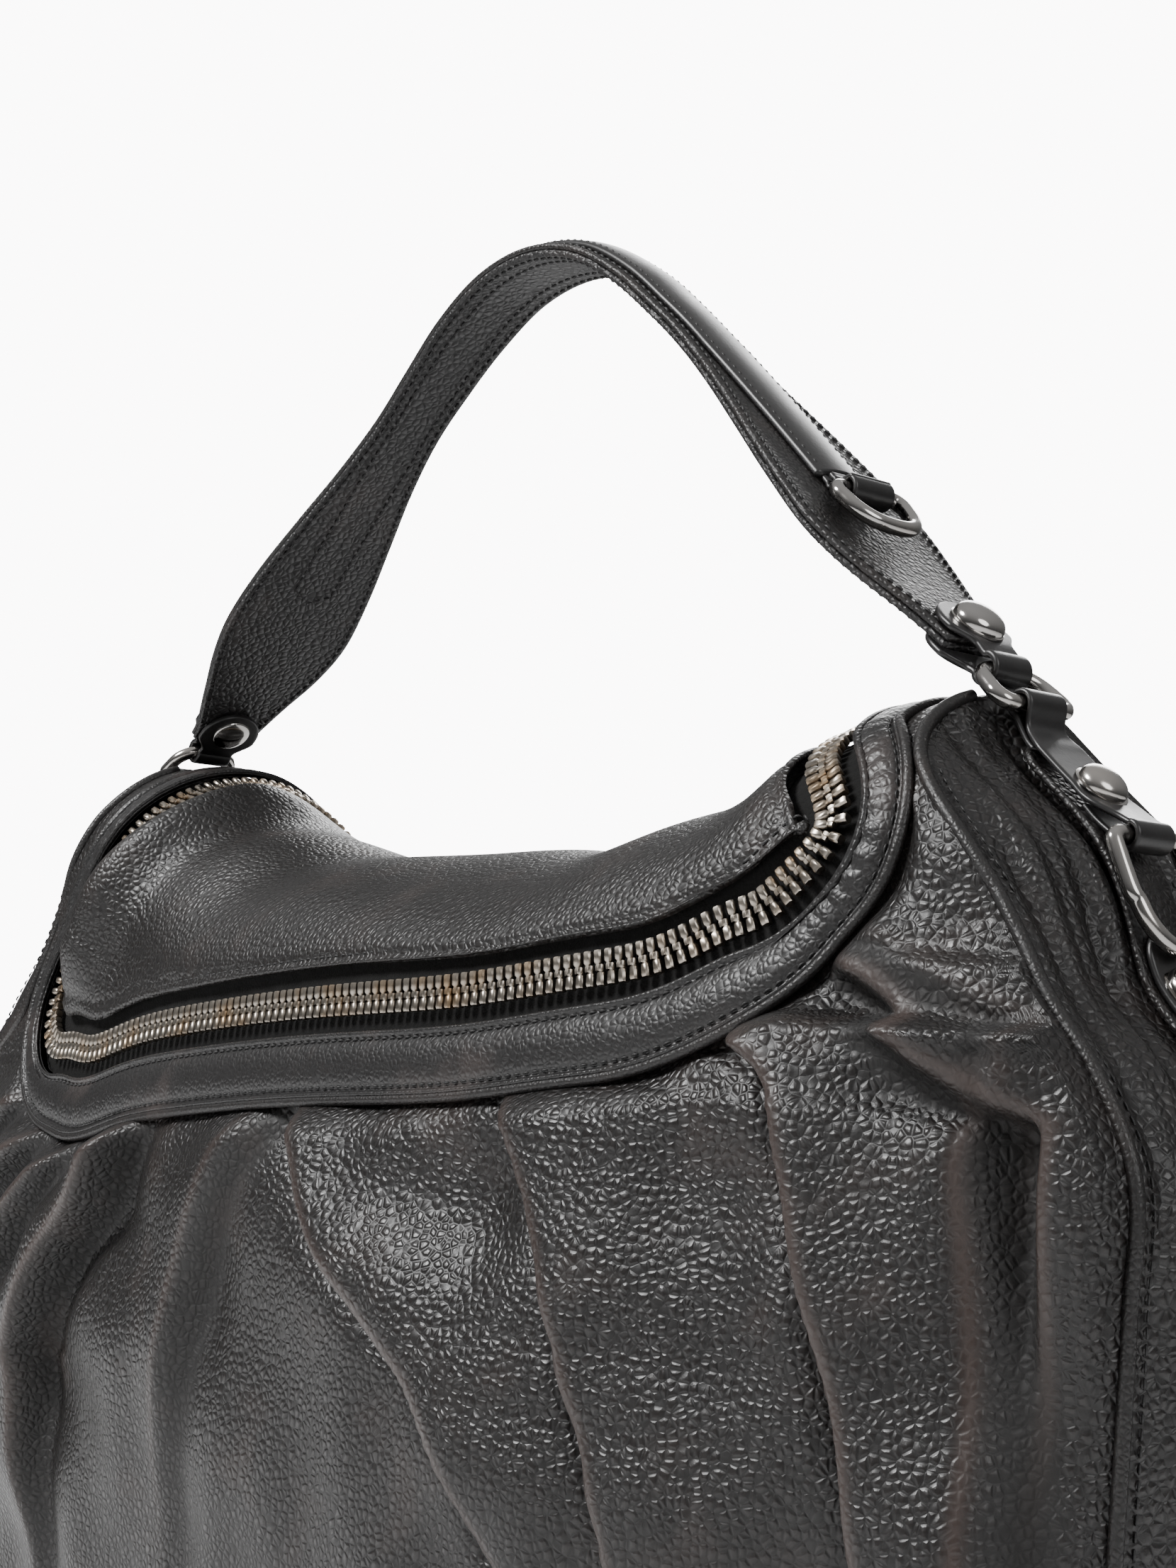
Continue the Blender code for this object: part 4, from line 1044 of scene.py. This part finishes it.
def fix_outward(piece):
    """Turns the faces out where the mesh encloses a negative volume."""
    mesh = piece.data
    co = np.empty(len(mesh.vertices) * 3)
    mesh.vertices.foreach_get("co", co)
    co = co.reshape(-1, 3)
    mesh.calc_loop_triangles()
    tri = np.empty(len(mesh.loop_triangles) * 3, int)
    mesh.loop_triangles.foreach_get("vertices", tri)
    a, b, c = (co[tri.reshape(-1, 3)[:, k]] for k in range(3))
    if (np.cross(a, b) * c).sum() < 0:
        mesh.flip_normals()


bar2 = side_at(RING_BAR2, 7.7)
for side, hand in ((-1, "left"), (1, "right")):
    lines = {"side_strap_": (side_at(np.linspace(300, 24, 40), 2.0), 19.0, 1.9, GRAINED_SOFT),
             "side_tab_lower_": (side_at(np.linspace(257, 28, 36), 4.0), 15.0, 1.7, CALF)}
    for stem, (path, wide, thick, look) in lines.items():
        made = strap(stem + "hide_" + hand, path, lambda t, w=wide: w + 0 * t, thick, look, "bag",
                     side, tips=(wide / 2, 0))
        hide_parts(stem + hand)
    path = loop_path(RING_BAR1, bar2)

    def tab_width(t):
        return 13.4 + 4.2 * ease(0.30, 0.40, t) * (1 - ease(0.60, 0.70, t))
    made = strap("side_tab_upper_hide_" + hand, path, tab_width, 1.5, CALF, "bag", side)
    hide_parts("side_tab_upper_" + hand)
    rows = strap_rows(side_at(np.linspace(297, 30, 40), 2.0), lambda t: 19.0 + 0 * t, 1.3, -1.0, side)
    rows += strap_rows(side_at(np.linspace(248, 32, 40), 4.0), lambda t: 15.0 + 0 * t, 1.4, -0.9, side)
    stitches("side_strap_stitching_" + hand, rows, "bag", pitch=2.9, long=2.1, radius=0.3)
    for stem, z, off in (("stud_upper_", 285.5, 6.6), ("stud_lower_", 241.0, 4.9)):
        a, b = side_at(z, off), side_at(z, off + 5)
        axis = unit(b - a)
        stud = dome_piece(stem + "head_" + hand, np.array([side * a[0], 0, a[1]]),
                          np.array([side * axis[0], 0, axis[1]]), 6.2, 4.6, "bag")
        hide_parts(stem + hand)

# ---- rings -----------------------------------------------------------------------
# Round gunmetal wire bent and closed: a D at each end of the handle, a long stirrup on
# each side strap and a smaller D on each side of the handle.


def dee(center, up, side_w, tall):
    """D outline: a straight bar along Y with short corners, and a round far side."""
    a = np.radians(6 + 14 * np.arange(1, 12))
    c = np.cos(a)
    rise = [(-side_w + 2.6, 0), (-side_w / 2, 0), (side_w / 2, 0), (side_w - 2.6, 0),
            (side_w - 0.5, 0.9), (side_w + 0.5, 3.2), (side_w + 0.2, 5.5)]
    arc = np.stack([side_w * np.sign(c) * np.abs(c) ** 0.85, 5 + (tall - 5) * np.sin(a) ** 0.85], -1)
    fall = [(-side_w - 0.2, 5.5), (-side_w - 0.5, 3.2), (-side_w + 0.5, 0.9)]
    return ring_points(np.vstack([rise, arc, fall]), center, up)


def stirrup(center, up, side_w, tall):
    """Straight legs that turn in to a curved foot."""
    a = np.radians(30 + 15 * np.arange(9))
    rise = [(-side_w + 2.4, 0), (-side_w / 2, 0), (side_w / 2, 0), (side_w - 2.4, 0),
            (side_w - 0.5, 0.8), (side_w + 0.2, 2.6), (side_w + 0.1, 13.5), (side_w - 1.1, 16.6)]
    arc = np.stack([(side_w - 0.4) * np.cos(a) * 0.98, 13 + (tall - 13) * np.sin(a)], -1)
    fall = [(-side_w + 1.1, 16.6), (-side_w - 0.1, 13.5), (-side_w - 0.2, 2.6), (-side_w + 0.5, 0.8)]
    return ring_points(np.vstack([rise, arc, fall]), center, up)


def ring_points(flat, center, up):
    closed = np.vstack([flat[-1:], flat, flat[:2]])
    fine = catmull(closed, 10)[10:-10]
    fine = respace(fine, 181)[:-1]
    y, d = fine.T
    return np.stack([center[0] + up[0] * d, y, center[1] + up[1] * d], -1)


def ring(name, points, up, side, body):
    points = points * (side, 1, 1)
    across = np.broadcast_to([side * -up[1], 0.0, up[0]], points.shape)
    made = tube(name, points, across, WIRE_R, GUNMETAL, body, closed=True, sides=20)
    fix_outward(made)
    return made


handle_dir = unit(np.array([139.6 - 124.4, 356.0 - 371.2]))
handle_out = np.array([-handle_dir[1], handle_dir[0]])
small_bar = np.array([130.0, 365.6]) + handle_out * 6.2
for side, hand in ((-1, "left"), (1, "right")):
    up = unit(RING_TOP1 - RING_BAR1)
    made = ring("top_ring_wire_" + hand, dee(RING_BAR1, up, 11.4, np.linalg.norm(RING_TOP1 - RING_BAR1)),
                up, side, "bag")
    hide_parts("ring_top_" + hand)
    up = unit(side_at(249.0, 7.8) - bar2)
    made = ring("side_ring_wire_" + hand, stirrup(bar2, up, 11.2, 27.5), up, side, "side_ring_" + hand)
    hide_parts("ring_side_" + hand)
    up = unit(handle_dir + handle_out * 0.05)
    made = ring("handle_ring_wire_" + hand, dee(small_bar, up, 11.2, 15.5), up, side,
                "handle_ring_" + hand)
    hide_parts("handle_dring_" + hand)

# ---- handle ----------------------------------------------------------------------
# Two shaped layers of hide glued and stitched along their edges, wide above each end
# and narrow over the shoulder, with painted edges. A smooth crowned strip lies along
# the outside between the two small rings, and the inside shows its stitched box.
HANDLE = [(0, 458.7), (21.8, 455.1), (41.4, 444.8), (58.9, 431.2), (75.7, 416.7),
          (92.1, 401.8), (108.4, 386.6), (124.4, 371.2), (139.6, 356.0), (151.5, 345.3),
          (162.5, 336.4), (171.5, 328.6), (176.5, 324.6)]
HANDLE_W = [27.6, 27.2, 26.4, 24.6, 24.0, 28.6, 36.8, 44.5, 47.8, 43.0, 32.7, 24.0, 22.0]
HANDLE_HIDE = leather("handle_hide", BLACK_HIDE, 0.0019, 0.42, 0.40)
LINING_HIDE = leather("handle_lining_hide", (0.0150, 0.0140, 0.0140), 0.0021, 0.75, 0.42)

right_half = np.array([(x, z, w) for (x, z), w in zip(HANDLE, HANDLE_W)])
HANDLE_LINE = respace(catmull(np.vstack([right_half[:0:-1] * (-1, 1, 1), right_half]), 12), 500)


def offset(line, off):
    d = unit(np.gradient(line[:, :2], axis=0))
    return line[:, :2] + np.stack([-d[:, 1], d[:, 0]], -1) * off


def handle_width(t):
    return np.interp(t, np.linspace(0, 1, len(HANDLE_LINE)), HANDLE_LINE[:, 2])


for name, node, off, look in (("handle_outer_hide", "handle_outer", 0.98, HANDLE_HIDE),
                              ("handle_inner_hide", "handle_lining", -0.98, LINING_HIDE)):
    made = strap(name, offset(HANDLE_LINE, off)[::4], handle_width, 1.95, look, "handle",
                 count=420, lip=0.8)
    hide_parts(node)
rows = strap_rows(offset(HANDLE_LINE, 0)[::4], handle_width, 2.2, 2.05, 1, (0.012, 0.988), 1400)
rows += strap_rows(offset(HANDLE_LINE, 0)[::4], handle_width, 2.2, -2.05, 1, (0.012, 0.988), 1400)

strip_span = np.abs(HANDLE_LINE[:, 0]) < 124
strip_line = HANDLE_LINE[strip_span]


def overlay_width(t):
    return np.minimum(17.5, np.interp(t, np.linspace(0, 1, len(strip_line)), strip_line[:, 2]) - 7)


made = strap("handle_overlay_hide", offset(strip_line, 2.9)[::4], overlay_width, 1.9, CALF, "handle",
             crown=1.5, count=300)
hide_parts("handle_overlay")
rows += strap_rows(offset(strip_line, 2.9)[::4], overlay_width, 1.7, 1.15, 1, (0.01, 0.99), 1200)


def inside_box():
    """The overlay's stitching seen from inside: two lines that close in a shallow V."""
    path = offset(strip_line, -1.98)
    t = np.linspace(0, 1, len(path))
    d = unit(np.gradient(path, axis=0))
    n = np.stack([-d[:, 1], d[:, 0]], -1)
    half = overlay_width(t) / 2 - 1.7
    out = np.stack([-n[:, 0], 0 * t, -n[:, 1]], -1)
    made = []
    for edge in (-1, 1):
        p = np.stack([path[:, 0], edge * half, path[:, 1]], -1)
        made.append((p, out))
    for at, sign in ((0, -1), (-1, 1)):
        a = np.linspace(-1, 1, 30)
        move = (1 - np.abs(a))[:, None] * 4.0 * sign
        p = path[at] + move * d[at]
        made.append((np.stack([p[:, 0], a * half[at], p[:, 1]], -1), np.broadcast_to(out[at], (30, 3))))
    return made


rows += inside_box()
stitches("handle_stitching", rows, "handle", pitch=3.2, long=2.4, radius=0.42)


def hairpin(c, u, n, r, near, far, start, ramp):
    """A strap folded round c: near and far are (offset, length) of its two leaves."""
    a = np.radians(start + (360 - 2 * start) * np.linspace(0, 1, 13))[:, None]

    def leaf(off, long):
        return [c + u * d + n * off for d in (long, long * 0.5 + r * ramp * 0.5, r * ramp)]
    return np.vstack([leaf(*near), c + r * (u * np.cos(a) + n * np.sin(a)), leaf(*far)[::-1]])


tab_mid = np.array([171.5, 328.6])
for side, hand in ((-1, "left"), (1, "right")):
    path = hairpin(small_bar, -handle_dir, handle_out, WIRE_R + 1.1, (-3.2, 9.0), (-1.0, 7.4), 60, 1.5)
    made = strap("ring_loop_hide_" + hand, path, lambda t: 14.6 + 0 * t, 1.5, CALF, "handle",
                 side)
    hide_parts("dring_loop_" + hand)

    u = unit(tab_mid - RING_TOP1)
    n = np.array([u[1], -u[0]]) if u[1] > 0 else np.array([-u[1], u[0]])
    path = hairpin(RING_TOP1, u, n, 3.6, (3.3, 24.5), (-3.3, 23.0), 48, 1.9)
    long = np.linalg.norm(np.diff(path, axis=0), axis=1).sum()

    def tab_width(t, long=long):
        d = np.minimum(t, 1 - t) * long
        return 13.2 + 8.8 * (1 - ease(12.0, 19.0, d))
    made = strap("handle_tab_hide_" + hand, path, tab_width, 1.8, CALF, None, side,
                 tips=(10.5, 10.5))
    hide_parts("handle_tab_" + hand)
    near, far = (RING_TOP1 + u * 3.6) * MM, (RING_TOP1 + u * 9.0) * MM
    side * near[0]
    side * far[0]
    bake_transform(made)
    top, low = tab_mid + n * 4.3, tab_mid - n * 4.3
    stud = dome_piece("handle_stud_head_" + hand, np.array([side * top[0], 0, top[1]]),
                      np.array([side * n[0], 0, n[1]]), 6.9, 5.0, "handle", collar=1.06)
    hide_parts("stud_handle_" + hand)
    r = np.array([0, 2.0, 3.8, 5.2, 6.2, 6.6, 6.6, 0])
    h = np.array([2.2, 2.1, 1.8, 1.35, 0.8, 0.35, 0.0, 0.0])
    cap = turned_piece("rivet_head_" + hand, r, h, np.array([side * low[0], 0, low[1]]),
                       np.array([-side * n[0], 0, -n[1]]), "handle")
    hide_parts("rivet_cap_" + hand)

# ---- slider, lining and board ----------------------------------------------------
# The cast slider with its leaf puller keeps its own shape; the lining, pocket and base
# board are inside the bag.


def cloth_look():
    """Plain woven cotton: two crossed thread waves."""
    look, start, place = new_look("woven_lining")
    warp, weft = (start.add("ShaderNodeTexWave", {"Vector": place, "Scale": 420.0}, out="Fac",
                            bands_direction=way) for way in "XZ")
    weave = warp.math("MAXIMUM", warp, weft)
    bump = start.add("ShaderNodeBump", {"Strength": 0.5, "Distance": 0.0002, "Height": weave})
    tone = weave.mix((0.014, 0.013, 0.012, 1), (0.040, 0.037, 0.034, 1))
    return finish_look(look, start, Base_Color=tone, Roughness=0.85, Normal=bump)


COTTON = cloth_look()
for node, look in (("zip_slider", GUNMETAL), ("zip_puller", GUNMETAL), ("lining_bag", COTTON),
                   ("inner_pocket", COTTON), ("base_board", COTTON)):
    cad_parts[node].data.materials.clear()
    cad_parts[node].data.materials.append(look)
